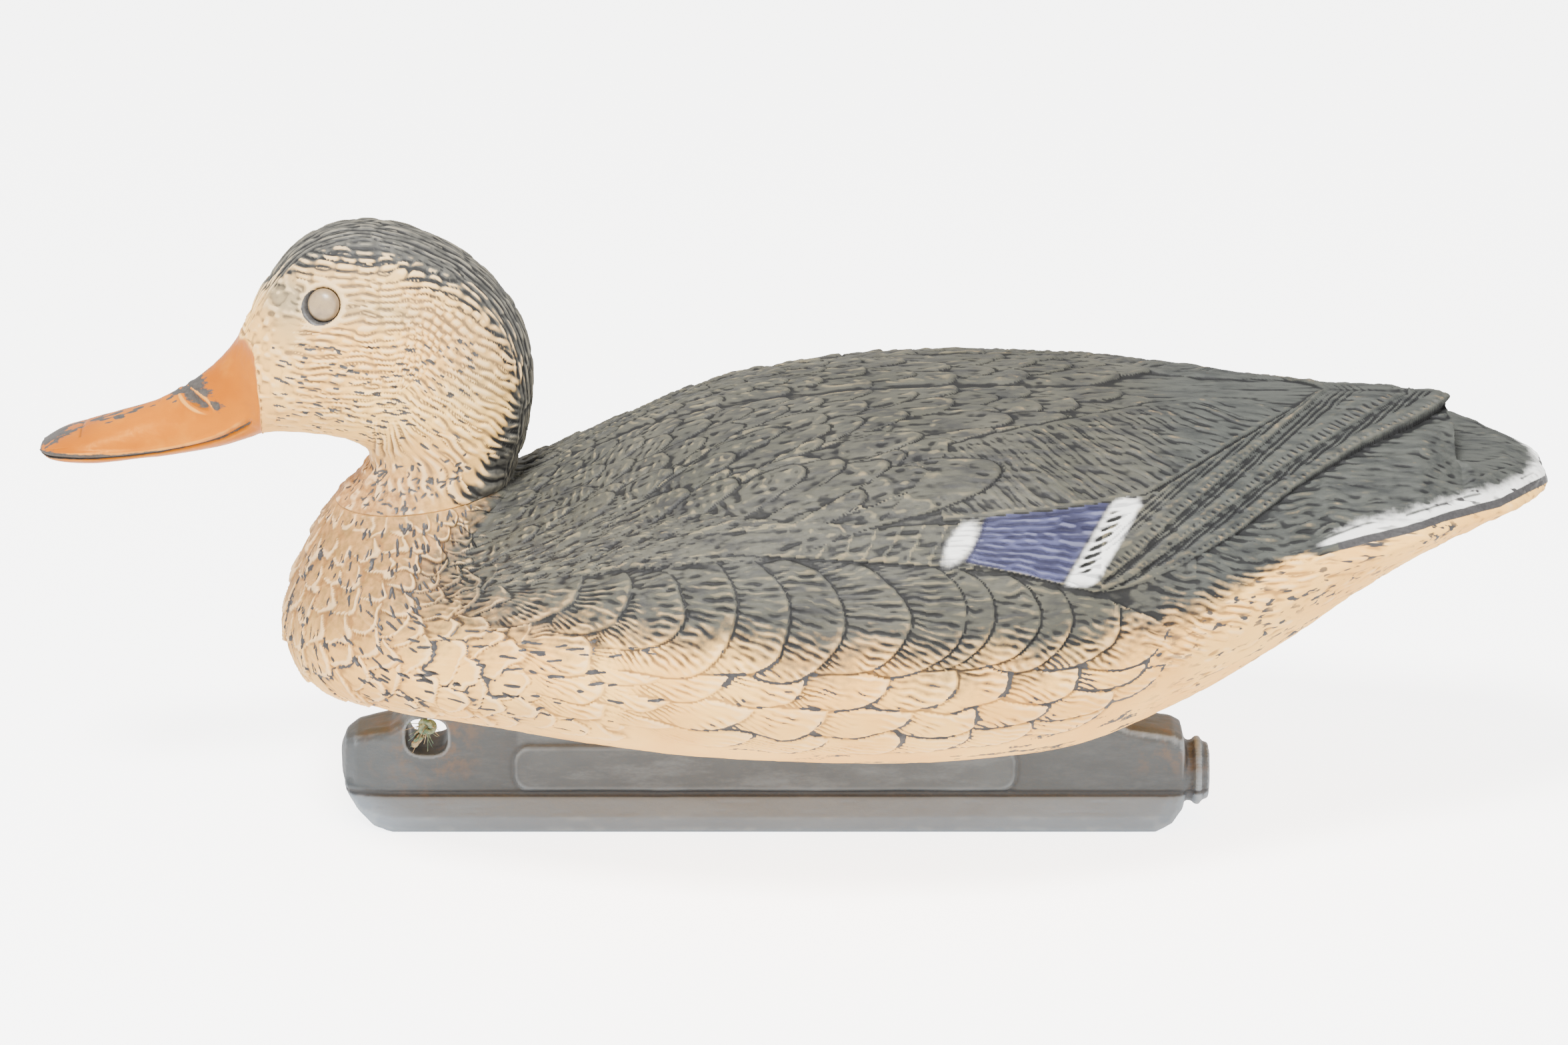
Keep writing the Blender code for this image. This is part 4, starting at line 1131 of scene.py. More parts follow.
def breast_scales(hull, rng):
    """Scales over the breast and shoulder, tips down and back, with raised edges and dark nicks."""

    def ways(i, k):
        """The unit way on to the next section, and straight back laid on the surface."""
        n = hull.n[i, k]
        down = hull.p[i + 1, k] - hull.p[i - 1, k]
        return down / (np.linalg.norm(down) + 1e-9), BACK - n * (BACK @ n)

    size = line(((0, 5.4), (1.5, 7.8), (4, 9.8), (7.6, 10.5)))
    first = line(((0, 0), (2.5, 0), (3.6, 20), (5, 40), (6.3, 50), (7.6, 60)))
    last = line(((0, 180), (5.0, 180), (5.6, 130), (7.6, 118)))
    spots = hull.spots(rng, 7.6, 0.12, size, first, last, 0.68)
    for i, k, wide in spots:
        down, back = ways(i, k)
        way = 0.85 * down + 1.05 * back + rng.normal(0, 0.18, 3)
        soft = 1 - 0.3 * float(step(hull.s[i], 5.2, 7.6))
        hull.feather(
            i, k, 0, wide * 1.6, wide * rng.uniform(0.95, 1.25), rng.uniform(0.85, 1.3) * soft,
            round_tip=rng.uniform(1.35, 1.9), low=0.0, barbs=("along", 1.9, 0.16), way=way, edge=0.5,
            tone=rng.uniform(-1, 1), ragged=0.3, lip=0.4 * soft,
        )
    for i, k, wide in spots:
        down, back = ways(i, k)
        way = down + 0.45 * back
        across = np.cross(hull.n[i, k], way)
        for _ in range(rng.integers(1, 5 + 2 * (hull.x[i, k] < -95))):
            target = hull.p[i, k] + way * rng.uniform(0.1, 0.7) * wide
            target = target + across * rng.normal(0, 0.4) * wide
            box = hull.window(i, k, 1.3 * wide)
            d = ((hull.p[box] - target) ** 2).sum(-1)
            di, dk = np.unravel_index(int(np.argmin(d)), d.shape)
            hull.nick(
                box[0].start + di, box[1].start + dk, way + rng.normal(0, 0.16, 3),
                rng.uniform(1.8, 0.6 * wide), rng.uniform(0.8, 1.1), 0.42,
            )


def tufts(hull, rng):
    """Fine scratchy ridges on the shoulders, where feathers are too small to tell apart."""
    for _ in range(1500):
        x = rng.uniform(-78, 0)
        low = np.interp(x, (-78, -40, 0), (64, 70, 73))
        high = np.interp(x, (-78, -60, -30, 0), (86, 92, 84, 80))
        v = low + rng.uniform(0, 1) * (high - low)
        i, k = hull.at_side(x, v)
        way = hull.axes(i, k, rng.normal(4, 9))[0]
        length, width, high = rng.uniform(3, 9), rng.uniform(1.0, 1.9), rng.uniform(0.75, 1.15)
        hull.stroke(i, k, way, length, width, high, bend=rng.normal(0, 0.1))


def tail_ridges(hull, rng):
    """Rump, tail top, and the long fine streaks under the tail."""
    x, v = hull.x, hull.v
    warp = noise(hull.p, 6.0, 31)
    low_edge = BANDS[3](x)
    border = DARK_BORDER(hull.grid_s)
    rump = hump(x, 82, 100, 150, 166) * (v < low_edge)
    rump = rump * (1 - step(hull.b, border + 14, border + 24))
    slope = np.interp(x, (80, 110, 140), (0.25, 0.3, 0.05))
    value = 0.15 + 0.75 * laid((v + slope * (x - 100)) / 2.2 + 0.45 * warp, x, 9.0, 7)
    amount = np.interp(x, (82, 92, 128, 150), (0.9, 1.0, 0.9, 0.5))
    hull.h = hull.h * (1 - rump) + rump * amount * value
    tail = (x > 120) & (v < low_edge)
    fine = noise(hull.p, 1.1, 33, stretch=(0.12, 1, 1))
    hull.h += np.where(tail, 0.25 * fine * step(x, 120, 150), 0)
    # two flat tail feathers, by their edges
    for share in (0.42, 0.74):
        across = np.abs(hull.y) - np.interp(x, (150, 180, 203), (44, 34, 3)) * share
        rise = 0.4 * hump(across, -0.4, 0.4, 0.4, 9) * step(x, 158, 172)
        hull.h += np.where(tail & (hull.b < 70), rise, 0)
    under = (hull.b > border + 1) & (x > 84)
    lanes = noise(hull.p, 1.5, 34, stretch=(0.09, 1.0, 1.0))
    broken = noise(hull.p, 3.0, 35, stretch=(0.35, 1, 1))
    hull.h += np.where(under, 0.5 * lanes * step(broken, -0.35, 0.25) * step(x, 84, 108), 0)
    hull.paint["streak"] = np.where(under, step(x, 84, 112) * step(broken, -0.6, 0.2), 0)


def wing_tip_overhang(hull):
    """Draw the tail in under the folded wing tips, run its sides on smoothly, and lift its top a little."""
    s, b = hull.grid_s, hull.b
    shift = np.zeros(hull.p.shape)
    front, back = (int(np.argmin(np.abs(hull.s - place))) for place in (15.0, 18.0))
    reach = np.concatenate(([0.0], np.cumsum(hull.row_gap[front:back].mean(1))))
    t = (reach / reach[-1])[:, None, None]
    straight = hull.p[front] * (1 - t) + hull.p[back] * t
    side = (hump(b, 26, 42, 150, 165))[front : back + 1, :, None]
    shift[front : back + 1] = (straight - hull.p[front : back + 1]) * side
    top = 1 - step(b, 26, 44)
    shift[..., 0] -= 11.0 * top * hump(s, 16.1, 16.95, 17.0, 17.9)
    shift[..., 2] += 2.6 * (1 - step(b, 40, 80)) * hump(s, 16.5, 17.0, 18.8, 20.0)
    hull.reshape(shift)


def sculpt_body(hull):
    rng = np.random.default_rng(17)
    base = 0.25 * noise(hull.p, 14.0, 1) + 0.08 * noise(hull.p, 3.0, 2)
    hull.h = np.full(hull.b.shape, 0.2)
    hull.paint["white"] = np.zeros(hull.b.shape)
    hull.paint["blue"] = np.zeros(hull.b.shape)
    breast_scales(hull, rng)
    flank_feathers(hull, rng)
    # the front flank feathers fade out up into the shoulder
    faded = (1 - step(WING_EDGE(hull.x) - hull.v, 1, 9)) * step(-hull.x, 5, 30)
    sunk = 1 - faded * step(hull.x, -82, -66) * step(hull.v, 50, 56)
    hull.h, hull.rim = hull.h * (0.3 + 0.7 * sunk), hull.rim * sunk
    tail_ridges(hull, rng)
    tufts(hull, rng)
    back_feathers(hull, rng)
    tufts(hull, np.random.default_rng(23))
    under = hull.h.copy(), hull.rim.copy(), hull.tone.copy()
    wing_panels(hull)
    longest_feather(hull, high=1.7, low=0.45, deep=0.4, lip=0.1)
    # ahead of the wing the back feathers stay as they were laid
    tip = (hull.x < 40) & (hull.v > TERTIAL_LOW(hull.x) + 0.5) & (hull.x < 33 + (hull.v - 92))
    tip &= (hull.b < 60) & (under[0] > 0.5)
    over = hull.h, hull.rim, hull.tone
    hull.h, hull.rim, hull.tone = (np.where(tip, a, b) for a, b in zip(under, over))
    # a soft valley down the middle of the back
    middle = bell(hull.y, 2.2) * (hull.b < 60) * (hull.x < 165) * (hull.x > -60)
    hull.h = hull.h * (1 - 0.75 * middle) - 0.35 * middle
    belly = step(hull.b, 118, 150) * step(hull.grid_s, 5.0, 6.5)
    hull.h = hull.h * (1 - 0.7 * belly)
    # fine streaks in the dark paint's surface, rising over the back and level on the flank
    x, y, z = hull.x, hull.y, hull.z
    rise = np.where(hull.v > WING_EDGE(x), 0.36, -0.1) * (1 - step(x, 30, 80))
    hair = noise(np.stack((0.2 * x, y, z - rise * x), axis=-1), 1.25, 4)
    border = DARK_BORDER(hull.grid_s)
    on_dark = 1 - step(hull.b, border - 6, border + 8)
    grit = 0.05 * noise(hull.p, 1.3, 3)
    hull.h += base * (1 - 0.5 * (hull.b < 60)) + grit + 0.34 * hair * on_dark
    # the relief ends at the keel's seat and the tail's tip, and is lower near the neck's seam
    seam = step(hull.grid_s, 0.0, 0.04)
    seat = 1 - step(hull.b, 150, 165) * hump(hull.grid_s, 5.0, 5.6, 12.3, 13.0)
    end = 1 - step(hull.grid_s, 19.2, 20.0)
    near_neck = 0.45 + 0.55 * step(hull.grid_s, 0.0, 1.6)
    hull.h *= seam * seat * end * near_neck
    paint_body(hull)


def paint_body(hull):
    x, v, b, s = hull.x, hull.v, hull.b, hull.grid_s
    # convexity of the relief: raised edges take painted highlight and the dry brushing, hollows painted
    # shade
    cavity = hull.h - hull.blur(hull.h, 2.4)
    wide = hull.h - hull.blur(hull.h, 6.0)
    convex = 0.65 * cavity + 0.35 * wide
    border = DARK_BORDER(s)
    on_dark = 1 - step(b, border - 4, border + 6)
    hull.paint["edge"] = np.clip(convex / 0.3, 0, 1) * (1 - 0.5 * hull.rim * on_dark)
    hull.paint["pit"] = np.clip(-convex / 0.26, 0, 1) * step(s, 0.03, 0.2)
    soft = np.interp(s, (0, 4, 6, 8, 12.3, 13.2, 20), (40, 34, 20, 12, 9, 0.9, 1.5))
    cloudy = noise(hull.p, 11.0, 41, 2)
    shift = 3.0 * cloudy * (s < 13)
    hull.paint["dark"] = np.clip(0.5 + (border - b + shift) / (2 * soft), 0, 1)
    high = step(v, 36, 66)
    warm = (1 - step(s, 4.6, 8.6)) * (0.2 + 0.8 * high) + 0.25 * cloudy * (s < 8)
    hull.paint["warm"] = np.clip(warm, 0, 1)
    hull.paint["cool"] = step(x, 80, 110) * (b < border + 4) * 0.9 + 0.15 * step(hull.tone, 0.2, 1)
    dust = np.interp(x, (-80, -40, 60, 95, 180), (0.62, 0.46, 0.38, 0.14, 0.08))
    dust = dust * (1 - 0.2 * step(WING_EDGE(x) - v, -1, 2))
    hull.paint["dust"] = dust * (1 - 0.75 * (v > TERTIAL_LOW(x) + 1.5) * step(x, 40, 50))
    # the tail's white edge
    thick = TAIL_BAND_WIDTH(x)
    above = v - TAIL_BAND_LOW(x)
    fade = np.clip(1 - (above - 0.25 * thick) / (1.25 * thick), 0, 1) ** 1.3
    band = 0.86 * step(x, 133, 142) * step(above, -0.3, 0.5) * fade * (b < 100)
    ragged = noise(hull.p, 1.3, 43, stretch=(0.2, 1, 1))
    band = band * (1 - 0.5 * step(-ragged, 0.1, 0.6) * step(above, 0.2 * thick, 0.9 * thick))
    thin = bell(above - 0.55 * thick, 0.32) * (noise(hull.p, 3.0, 43, stretch=(0.3, 1, 1)) > -0.15)
    tip = step(x, 193, 200) * step(above, 0.3, 1.0) * (b < 100)
    hull.h -= 0.15 * thin * band
    hull.paint["white"] = np.clip(hull.paint["white"] + band * (1 - 0.5 * thin) + 0.35 * tip, 0, 1)
    rear = step(s, 13.0, 13.5)
    hull.paint["dark"] = hull.paint["dark"] * (1 - rear) + rear * step(above, -2.4, -1.7) * (b < 140)
    # bare plastic: feather edges low on the flank, flecks on the breast, the tail's rim, streaks under it
    patchy = noise(hull.p, 5.0, 44, 2)
    low_side = step(b, border - 8, border + 4) * hump(x, -50, -10, 92, 108)
    worn = np.maximum(step(hull.rim, 0.3, 0.8), step(hull.paint["pit"], 0.35, 0.9))
    rims = worn * low_side * step(patchy, -0.35, 0.2)
    rubbed = step(noise(hull.p, 3.0, 45, 2, stretch=(0.4, 1, 1)), 0.1, 0.4)
    keel_line = step(b, 104, 122) * hump(x, -60, 30, 84, 110) * rubbed
    rim_tail = step(x, 139, 146) * hump(-above, -0.4, 0.2, 1.7, 2.4) * (b < 140)
    rim_tail = np.maximum(rim_tail, step(x, 200.6, 201.8) * step(above, -2, 0))
    crack = step(hull.paint["pit"], 0.45, 0.95) * step(noise(hull.p, 5.0, 46, 2), -0.02, 0.2)
    crack = crack * hump(s, 0.1, 0.4, 7.0, 8.0)
    pale = 1 - step(hull.paint["dark"], 0.35, 0.7)
    bare = 0.75 * rims + 0.5 * keel_line + 0.8 * rim_tail
    bare = bare + (0.74 * crack + 0.95 * hull.fleck) * pale
    hull.paint["bare"] = np.clip(bare, 0, 1) + 0.1


# ---------------------------------------------------------------- sculpting the head

# where the dark crown ends, in degrees from the back line at each station
CROWN_BORDER = line((
    (0, 62), (1, 57), (2, 51), (2.5, 44), (3, 38), (3.5, 33), (4, 29), (5, 29), (5.5, 31), (6, 34),
    (7, 37), (8, 38), (9, 35), (9.5, 27), (10, 13), (10.4, 4), (10.8, -20), (18, -20),
))
# where the bill starts, as a station at each angle, and its mouth, as an angle at each x
BILL_EDGE = line((
    (0, 10.75), (21, 10.78), (45, 10.45), (70, 10.1), (95, 9.9), (115, 9.7), (138, 9.6), (180, 9.5),
))
MOUTH_LINE = line(((-203, 92), (-196, 94), (-180, 104), (-160, 113), (-150, 117), (-143, 120)))


def eye_way(sign):
    """The way that an eye faces, on the left for -1 and on the right for 1."""
    ahead = math.cos(EYE_LIFT)
    return np.array(
        (-math.sin(EYE_TURN) * ahead, sign * math.cos(EYE_TURN) * ahead, math.sin(EYE_LIFT))
    )


def sculpt_head(head):
    rng = np.random.default_rng(29)
    x, z, b, s = head.x, head.z, head.b, head.grid_s
    bill = step(s, BILL_EDGE(b) - 0.02, BILL_EDGE(b) + 0.05)
    warp = 0.5 * noise(head.p, 7.0, 54) + 0.3 * noise(head.p, 3.2, 55, stretch=(0.6, 1, 1))
    # level ridges on the face, bending round the back of the head and falling at the nape
    pitch = 1.85
    dx, dz = x + 105.0, z - 130.0
    level = laid((z + 0.05 * dx) / pitch + warp, x + 5 * warp, 6.0, 11)
    reach, turn = np.hypot(dx, dz), np.arctan2(dz, dx)
    circling = laid(reach / pitch + warp, -turn * 42.0 + 5 * warp, 6.0, 12)
    fall = math.radians(40)
    across = (z - 130.0) * math.cos(fall) + dx * math.sin(fall)
    falling = laid(across / 2.0 + warp, dx * math.cos(fall) - dz * math.sin(fall), 6.5, 13)
    behind = step(dx, -3, 3)
    upper = step(turn + 0.12 * warp, math.radians(30), math.radians(48))
    face = level * (1 - behind) + behind * (circling * upper + falling * (1 - upper))
    # small cobbles ahead of the eye
    lores = step(-x, 129, 135) * step(b, 20, 30)
    cobble = 0.6 * step(noise(head.p, 1.7, 57, stretch=(0.55, 1, 1.3)), -0.4, 0.6)
    face = face * (1 - lores) + cobble * lores
    # smoother low on the cheek
    low = (1 - step(z, 116, 130)) * step(-x, 98, 110)
    face = face * (1 - 0.55 * low)
    # a fan of soft ridges from the throat down over the neck
    angle = np.degrees(np.arctan2(-(z - 133.0), x + 111.0))
    away = np.hypot(x + 111.0, z - 133.0)
    fan = 1.1 * laid(angle / 6.0 + warp, away, 13.0, 14, 0.8)
    in_fan = hump(angle, 30, 42, 88, 100) * step(away, 8, 15) * (b > 20)
    face = face * (1 - in_fan) + fan * in_fan
    throat = (1 - step(z, 108, 114)) * step(angle, 60, 85)
    face = face * (1 - 0.6 * throat) + 0.5 * throat * step(noise(head.p, 2.6, 58), -0.2, 0.5)
    # fine striations along the crown and nape
    over = (1 - step(b + 6 * warp, 22, 34)) * (s < 10.6)
    arc = np.cumsum(head.column_gap, axis=1)
    along = np.concatenate(([0.0], np.cumsum(head.row_gap[:-1].mean(1))))[:, None] + 0 * b
    crown = 0.95 * laid(arc / 1.6 + 0.8 * warp, along + 5 * warp, 6.5, 15)
    face = face * (1 - over) + crown * over
    head.h = 0.88 * face * (1 - bill)
    # dark dashes on the cheek are short grooves
    for _ in range(190):
        px, pz = rng.uniform(-138, -84), rng.uniform(114, 144)
        near = (x - px) ** 2 + (z - pz) ** 2 + np.where((b > 150) | (bill > 0), 1e6, 0)
        i, k = np.unravel_index(int(np.argmin(near)), near.shape)
        way = np.array((1.0, 0.0, -0.12 - 0.5 * (px > -100)))
        head.nick(i, k, way, rng.uniform(1.0, 3.6), rng.uniform(0.6, 1.0), 0.3)
    for _ in range(115):
        i, k = head.at(rng.uniform(0.1, 2.2), rng.uniform(70, 180))
        way = rng.normal(0, 1, 3) * np.array((1, 0.4, 1.6))
        head.nick(i, k, way, rng.uniform(1.0, 3.0), rng.uniform(0.7, 1.2), 0.35)
    head.h *= 1 - bill
    # eyelid and the seat of the eye
    facing = eye_way(-1.0)
    d = head.p - EYE_PLACE
    off = d - (d @ facing)[..., None] * facing
    r = np.linalg.norm(off, axis=2) + 100.0 * (head.y > -5)
    flat = step(r, 4.8, 6.6)
    head.h = head.h * flat + 0.5 * bell(r - 5.6, 0.9)
    head.h -= 1.4 * (1 - step(r, 4.45, 4.9))
    # a crescent below and ahead of the lens, darkened in the paint as the lens's painted shadow
    shade = np.linalg.norm(off + np.array((0.75, 0, 0.6)), axis=2) + 100.0 * (head.y > -5)
    head.paint["socket"] = 1 - step(shade, 4.7, 5.1)
    # bill: a raised edge at the face, the nostril, the line of the mouth and the nail
    from_face = s - BILL_EDGE(b)
    head.h += 0.35 * bell(from_face, 0.1) * (from_face > 0) + 0.2 * step(from_face, 0, 0.05)
    nostril = ((x + 160.2) / 3.4) ** 2 + ((z - 123.6 + 0.32 * (x + 160.2)) / 1.5) ** 2
    head.h -= 0.95 * np.exp(-(nostril**1.5)) * (b < 90)
    head.h += 0.25 * np.exp(-((np.sqrt(nostril) - 1.5) ** 2) / 0.12) * (b < 90)
    mouth_b = MOUTH_LINE(x)
    mouth = bell(b - mouth_b, 4.5) * hump(s, 10.4, 10.9, 16.4, 16.9)
    head.h -= 0.85 * mouth
    head.h += 0.55 * bell(b - mouth_b + 14, 6.0) * step(s, 10.6, 11.4)
    nail = bell(x + 197.0, 3.2) * (b < 62)
    head.h += 0.25 * nail - 0.3 * bell(x + 191.6, 0.5) * (b < 40)
    ridges = noise(head.p, 2.4, 51, 2, stretch=(0.25, 1, 1))
    head.h += 0.14 * ridges * step(from_face, 0.1, 0.8)
    head.h += 0.1 * noise(head.p, 6.0, 52) + 0.03 * noise(head.p, 1.2, 53)
    head.h *= hump(s, 0.0, 0.04, 16.8, 17.0)
    paint_head(head, bill, nostril, mouth, from_face)


def paint_head(head, bill, nostril, mouth, from_face):
    x, z, b, s = head.x, head.z, head.b, head.grid_s
    # convexity of the relief: raised edges take painted highlight, hollows painted shade
    cavity = head.h - head.blur(head.h, 2.2)
    wide = head.h - head.blur(head.h, 6.0)
    convex = 0.7 * cavity + 0.3 * wide
    head.paint["edge"] = np.clip(convex / 0.24, 0, 1)
    # the lens's painted shadow crescent joins the hollows' painted shade
    eye_shadow = head.paint.pop("socket")
    head.paint["pit"] = np.maximum(np.clip(-convex / 0.24, 0, 1) * step(s, 0.03, 0.2), eye_shadow)
    cloudy = noise(head.p, 7.0, 61, 2)
    head.paint["dark"] = np.clip(0.5 + (CROWN_BORDER(s) - b + 5 * cloudy) / 26.0, 0, 1) * (1 - bill)
    head.paint["bill"] = bill
    low = 1 - step(z - 0.25 * (x + 100), 103, 124)
    front = 1 - step(x, -108, -84)
    head.paint["warm"] = np.clip(low * (0.35 + 0.65 * front) * (s < 4.5), 0, 1)
    line_z = 153.5 - 0.10 * (x + 124)
    through = bell(z - line_z, 4.2) * hump(x, -144, -136, -104, -90)
    brow = step(z - 0.2 * (x + 124), 146, 164)
    back_grey = step(x, -102, -84) * step(z, 118, 134)
    lores = np.exp(-(((x + 134) / 7) ** 2 + ((z - 147) / 8) ** 2))
    grey = 0.45 * back_grey + 0.6 * through + 0.5 * lores + 0.55 * brow
    head.paint["grey"] = np.clip(grey, 0, 1) * (1 - bill)
    patchy = noise(head.p, 3.4, 62, 2, stretch=(0.5, 1, 1))
    around_nostril = np.exp(-(((x + 161) / 9.5) ** 4 + ((z - 125.6 + 0.36 * (x + 160)) / 4.2) ** 2))
    tip = step(-x, 192, 201)
    top = step(44 - b, 0, 34) * step(-x, 150, 166)
    scratch = noise(head.p, 1.0, 63, stretch=(0.2, 1, 1))
    lip = bell(b - MOUTH_LINE(x) + 7, 9) * step(-x, 158, 176)
    oval = np.exp(-((np.sqrt(nostril) - 1.35) ** 2) / 0.05) * (b < 90)
    bare = 0.66 * around_nostril * (1 - 0.8 * oval) + 0.5 * tip + 0.8 * lip + 0.6 * mouth
    bare = bare + top * (0.3 + 0.4 * step(scratch, 0.0, 0.4))
    bare = bill * (bare + 0.22 * step(patchy, 0.1, 0.5) * step(scratch, 0.0, 0.4))
    # the lens's painted shadow is also drawn in the dark of the bare plastic
    bare += (1 - bill) * (0.95 * head.fleck + 0.9 * eye_shadow)
    head.paint["bare"] = np.clip(bare, 0, 1) + 0.06


# ---------------------------------------------------------------- keel and eyes


def make_keel_skin():
    """The keel with its moulded edges rounded, scuffed and stained, marked for painted highlight and shade.
    """
    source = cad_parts["keel_shell"]
    mesh = source.data.copy()
    mesh.name = "keel_skin"
    mesh.materials.clear()
    keel = placed("keel_skin", mesh)
    shape = keel.modifiers.new("voxels", "REMESH")
    shape.mode = "VOXEL"
    shape.voxel_size = KEEL_VOXEL * MM
    soft = keel.modifiers.new("soft", "SMOOTH")
    soft.factor = 0.5
    soft.iterations = 5
    graph = bpy.context.evaluated_depsgraph_get()
    dense = bpy.data.meshes.new_from_object(keel.evaluated_get(graph))
    keel.modifiers.clear()
    keel.data = dense
    dense.name = "keel_skin"
    count = len(dense.vertices)
    co, no = np.zeros(count * 3, np.float32), np.zeros(count * 3, np.float32)
    dense.vertices.foreach_get("co", co)
    dense.vertices.foreach_get("normal", no)
    p, n = co.reshape(-1, 3) / MM, no.reshape(-1, 3)
    lumps = noise(p, 16.0, 71, 2)
    nicks = noise(p, 2.6, 72, 2, stretch=(0.5, 1, 1))
    h = 0.16 * lumps + 0.1 * nicks
    # a moulded crease where the flared foot meets the web, and a faint foot line
    sides = np.abs(n[:, 1]) > 0.3
    crease = bell(p[:, 2] - FOOT_CREASE, 0.75) * sides
    h = h - 0.55 * crease + 0.2 * bell(p[:, 2] - FOOT_CREASE - 1.2, 0.6) * sides
    gouge = noise(p, 1.3, 73, stretch=(0.15, 1, 1))
    h = h - 0.08 * step(gouge, 0.45, 0.7)
    top = step(n[:, 2], 0.3, 0.8) * (p[:, 2] > 24) * (p[:, 0] > -100)
    flat = (p[:, 2] < 0.6) & (n[:, 2] < -0.7)
    h = np.where(flat, 0.0, h)
    p = p + n * h[:, None]
    p[:, 2] += 0.9 * top
    p[:, 2] = np.maximum(p[:, 2], 0.0)
    dense.vertices.foreach_set("co", (p * MM).astype(np.float32).ravel())
    dense.update()
    edges = np.zeros(len(dense.edges) * 2, np.int32)
    dense.edges.foreach_get("vertices", edges)
    a, b = edges.reshape(-1, 2).T
    bend = ((p[b] - p[a]) * (n[b] - n[a])).sum(1)
    total, times = np.zeros(count), np.zeros(count)
    for one in (a, b):
        np.add.at(total, one, bend)
        np.add.at(times, one, 1)
    curve = total / np.maximum(times, 1) / 0.1
    # edge: rounded edges and nicks on the foot, for painted highlight; pit: hollows and the crease, for
    # painted shade
    low = step(p[:, 2], 10.8, 6.0)
    edge = np.clip(curve, 0, 1) * 0.9 + 0.3 * low * step(nicks, -0.1, 0.5)
    pit = np.clip(-curve, 0, 1) + 0.9 * crease + 0.18 * step(gouge, 0.45, 0.7)
    hole = np.linalg.norm((p - HOLE_CENTRE)[:, [0, 2]], axis=1)
    stain = bell(hole, 14.0) + 0.5 * step(p[:, 0], 84, 104) * step(p[:, 2], 12, 22)
    # the flared foot, painted lighter as where light falls on it
    foot = 1 - step(p[:, 2], 9.6, 10.6)
    pad = hump(p[:, 0], -76.5, -75, 59, 60.5)
    web = (1 - foot) * (1 - pad)
    painted = {"edge": edge, "pit": pit, "stain": stain, "foot": foot, "web": web}
    for key, value in painted.items():
        point_values(dense, key, np.clip(value, 0, 1))
    dense.materials.clear()
    dense.materials.append(PAINTS["keel"])
    dense.shade_smooth()
    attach(keel, "hull")
    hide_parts("keel_shell")


def make_eyes():
    """A domed lens on each side, with a darker rolled rim."""
    for side, sign in (("left", -1.0), ("right", 1.0)):
        point = EYE_PLACE * np.array((1.0, -sign, 1.0))
        facing = Vector(eye_way(sign))
        profile = [(0.0, 2.3)]
        for k in range(1, 19):
            a = math.pi / 2 * k / 18
            profile.append((4.05 * math.sin(a), 0.25 + 2.05 * math.cos(a)))
        profile += [(4.3, 0.05), (4.4, -0.3), (4.3, -0.6), (1.8, -0.6), (0.0, -0.6)]
        turns = 56
        points, faces = [], []
        for radius, height in profile[1:-1]:
            for k in range(turns):
                a = 2 * math.pi * k / turns
                points.append((radius * math.cos(a), radius * math.sin(a), height))
        rings = len(profile) - 2
        for i in range(rings - 1):
            for k in range(turns):
                a, b = i * turns + k, i * turns + (k + 1) % turns
                faces.append((a, a + turns, b + turns, b))
        points += [(0, 0, profile[0][1]), (0, 0, profile[-1][1])]
        for k in range(turns):
            faces.append((len(points) - 2, k, (k + 1) % turns))
            last = (rings - 1) * turns
            faces.append((len(points) - 1, last + (k + 1) % turns, last + k))
        turn = facing.to_track_quat("Z", "Y").to_matrix().to_4x4()
        place = Matrix.Translation(Vector(point) * MM) @ turn
        eye = mesh_object(f"eye_lens_{side}", points, faces, PAINTS["eye"])
        radius = np.hypot(*np.array(points)[:, :2].T)
        point_values(eye.data, "rim", step(radius, 3.3, 4.2))
        eye.data.transform(place)
        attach(eye, "head")
        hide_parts(f"eye_{side}")


# ---------------------------------------------------------------- floor and light


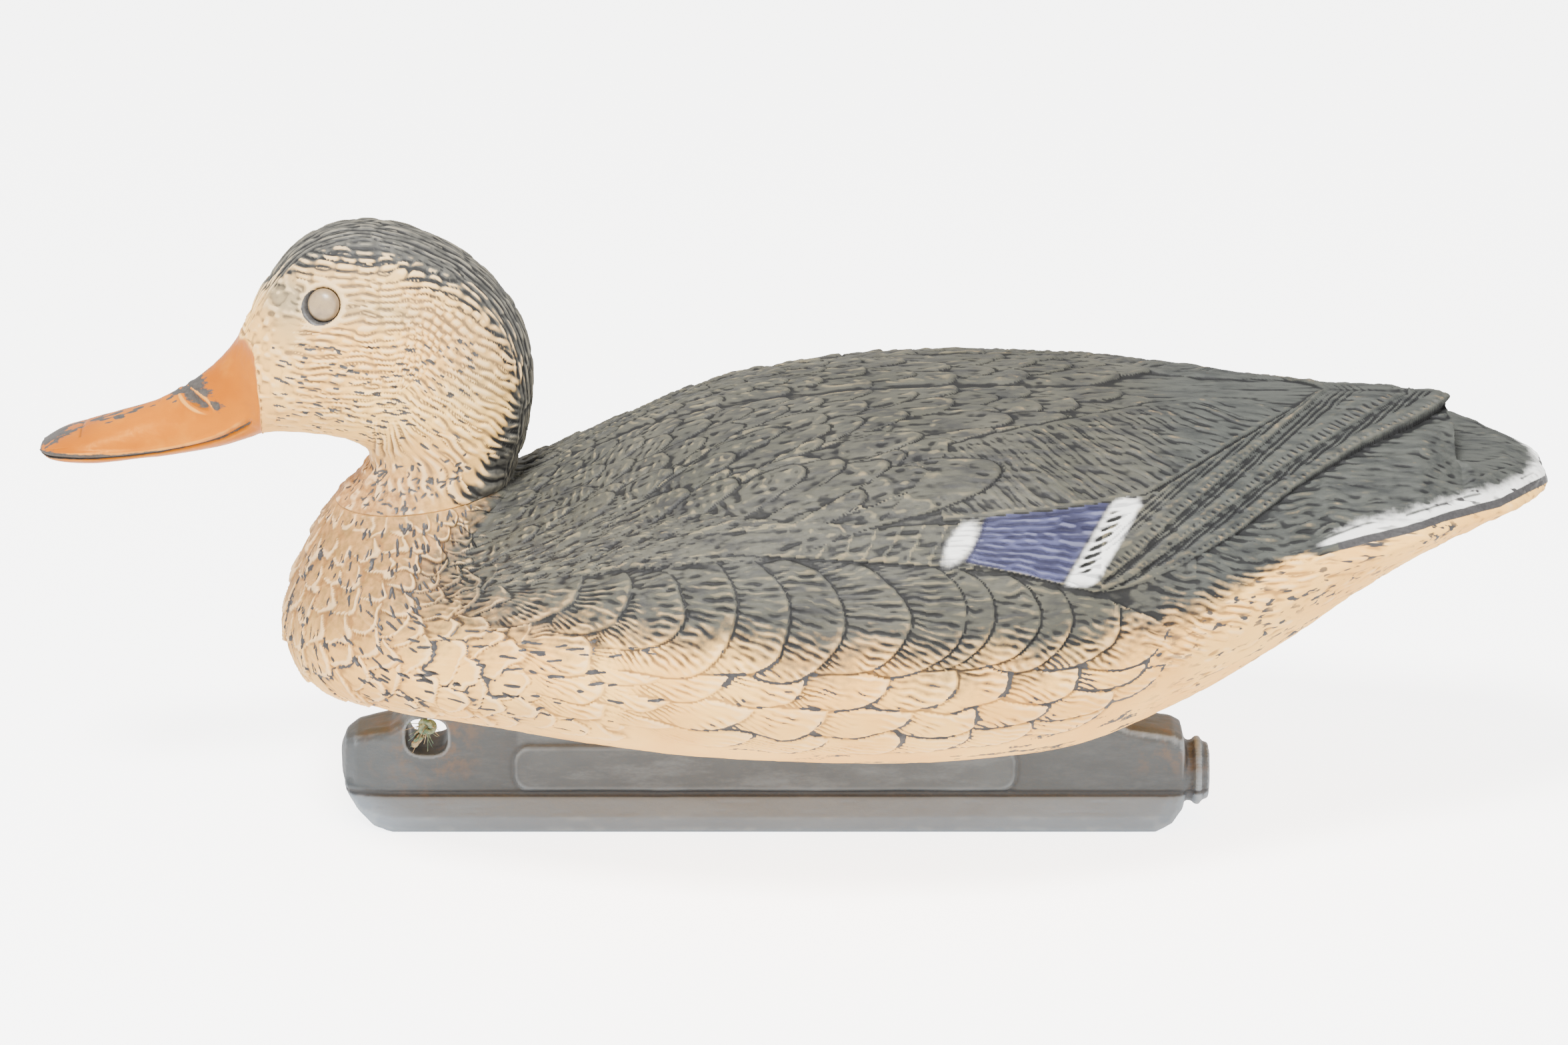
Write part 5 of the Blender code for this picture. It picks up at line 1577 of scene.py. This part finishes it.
def make_stage():
    """A wide sheet of lit paper, the world's light and two lamps."""
    mesh = bpy.data.meshes.new("floor")
    mesh.from_pydata([(-9, -4, 0), (9, -4, 0), (9, 9, 0), (-9, 9, 0)], [], [(0, 1, 2, 3)])
    floor = placed("floor", mesh)
    m = Shader("floor")
    cloud = m.noise(3.0, 3.0, 0.5)
    paper = m.finish(m.mix(cloud, linear("#dfdedc"), linear("#e6e5e3")), 0.8)
    # lit paper: faint to everything it lights, and an even near-white as the camera sees it
    both = m.add("ShaderNodeMixShader")
    m.links.new(m.add("ShaderNodeLightPath").outputs["Is Camera Ray"], both.inputs[0])
    glows = (((1.0, 1.0, 1.0, 1.0), PAPER_LIFT), ((1.0, 1.0, 0.995, 1.0), PAPER_GLOW))
    for place, (colour, strength) in enumerate(glows, 1):
        glow = m.add("ShaderNodeEmission")
        glow.inputs["Color"].default_value = colour
        glow.inputs["Strength"].default_value = strength
        added = m.add("ShaderNodeAddShader")
        m.links.new(m.bsdf.outputs[0], added.inputs[0])
        m.links.new(glow.outputs[0], added.inputs[1])
        m.links.new(added.outputs[0], both.inputs[place])
    out = next(node for node in m.nodes if node.type == "OUTPUT_MATERIAL")
    m.links.new(both.outputs[0], out.inputs["Surface"])
    mesh.materials.append(paper)
    world = bpy.data.worlds.new("world")
    bpy.context.scene.world = world
    world.use_nodes = True
    sky = world.node_tree.nodes["Background"]
    sky.inputs["Color"].default_value = (1.0, 0.995, 0.985, 1.0)
    sky.inputs["Strength"].default_value = WORLD_LIGHT
    for name, place, size, power in LAMPS:
        data = bpy.data.lights.new(name, "AREA")
        data.size = size
        data.energy = power
        lamp = placed(name, data)
        lamp.location = place
        way = Vector((0.0, 0.0, 0.08)) - Vector(place)
        lamp.rotation_euler = way.to_track_quat("-Z", "Y").to_euler()


# ---------------------------------------------------------------- everything

PAINTS = {
    "body": body_paint(),
    "head": head_paint(),
    "keel": keel_plastic(),
    "eye": eye_plastic(),
    "ballast": ballast_metal(),
}
make_camera()
make_twine()
for node, paint in (("keel_plug", "keel"), ("keel_ballast", "ballast")):
    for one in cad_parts[node].material_slots:
        one.material = PAINTS[paint]

hull_grid = Skin(BODY_STATIONS, *HULL_GRID)
wing_tip_overhang(hull_grid)
sculpt_body(hull_grid)
hull_grid.build("hull_skin", HULL_COLLAR, PAINTS["body"], "hull", "body_shell")
head_grid = Skin(HEAD_STATIONS, *HEAD_GRID, under=0.8)
lift = 0.03 * (1 - step(head_grid.s, 0.0, 0.5))
head_grid.all = head_grid.all + lift[:, None, None] * SEAM_UP
sculpt_head(head_grid)
head_grid.build("head_skin", HEAD_COLLAR, PAINTS["head"], "head", "head_shell")
make_keel_skin()
make_eyes()
make_stage()
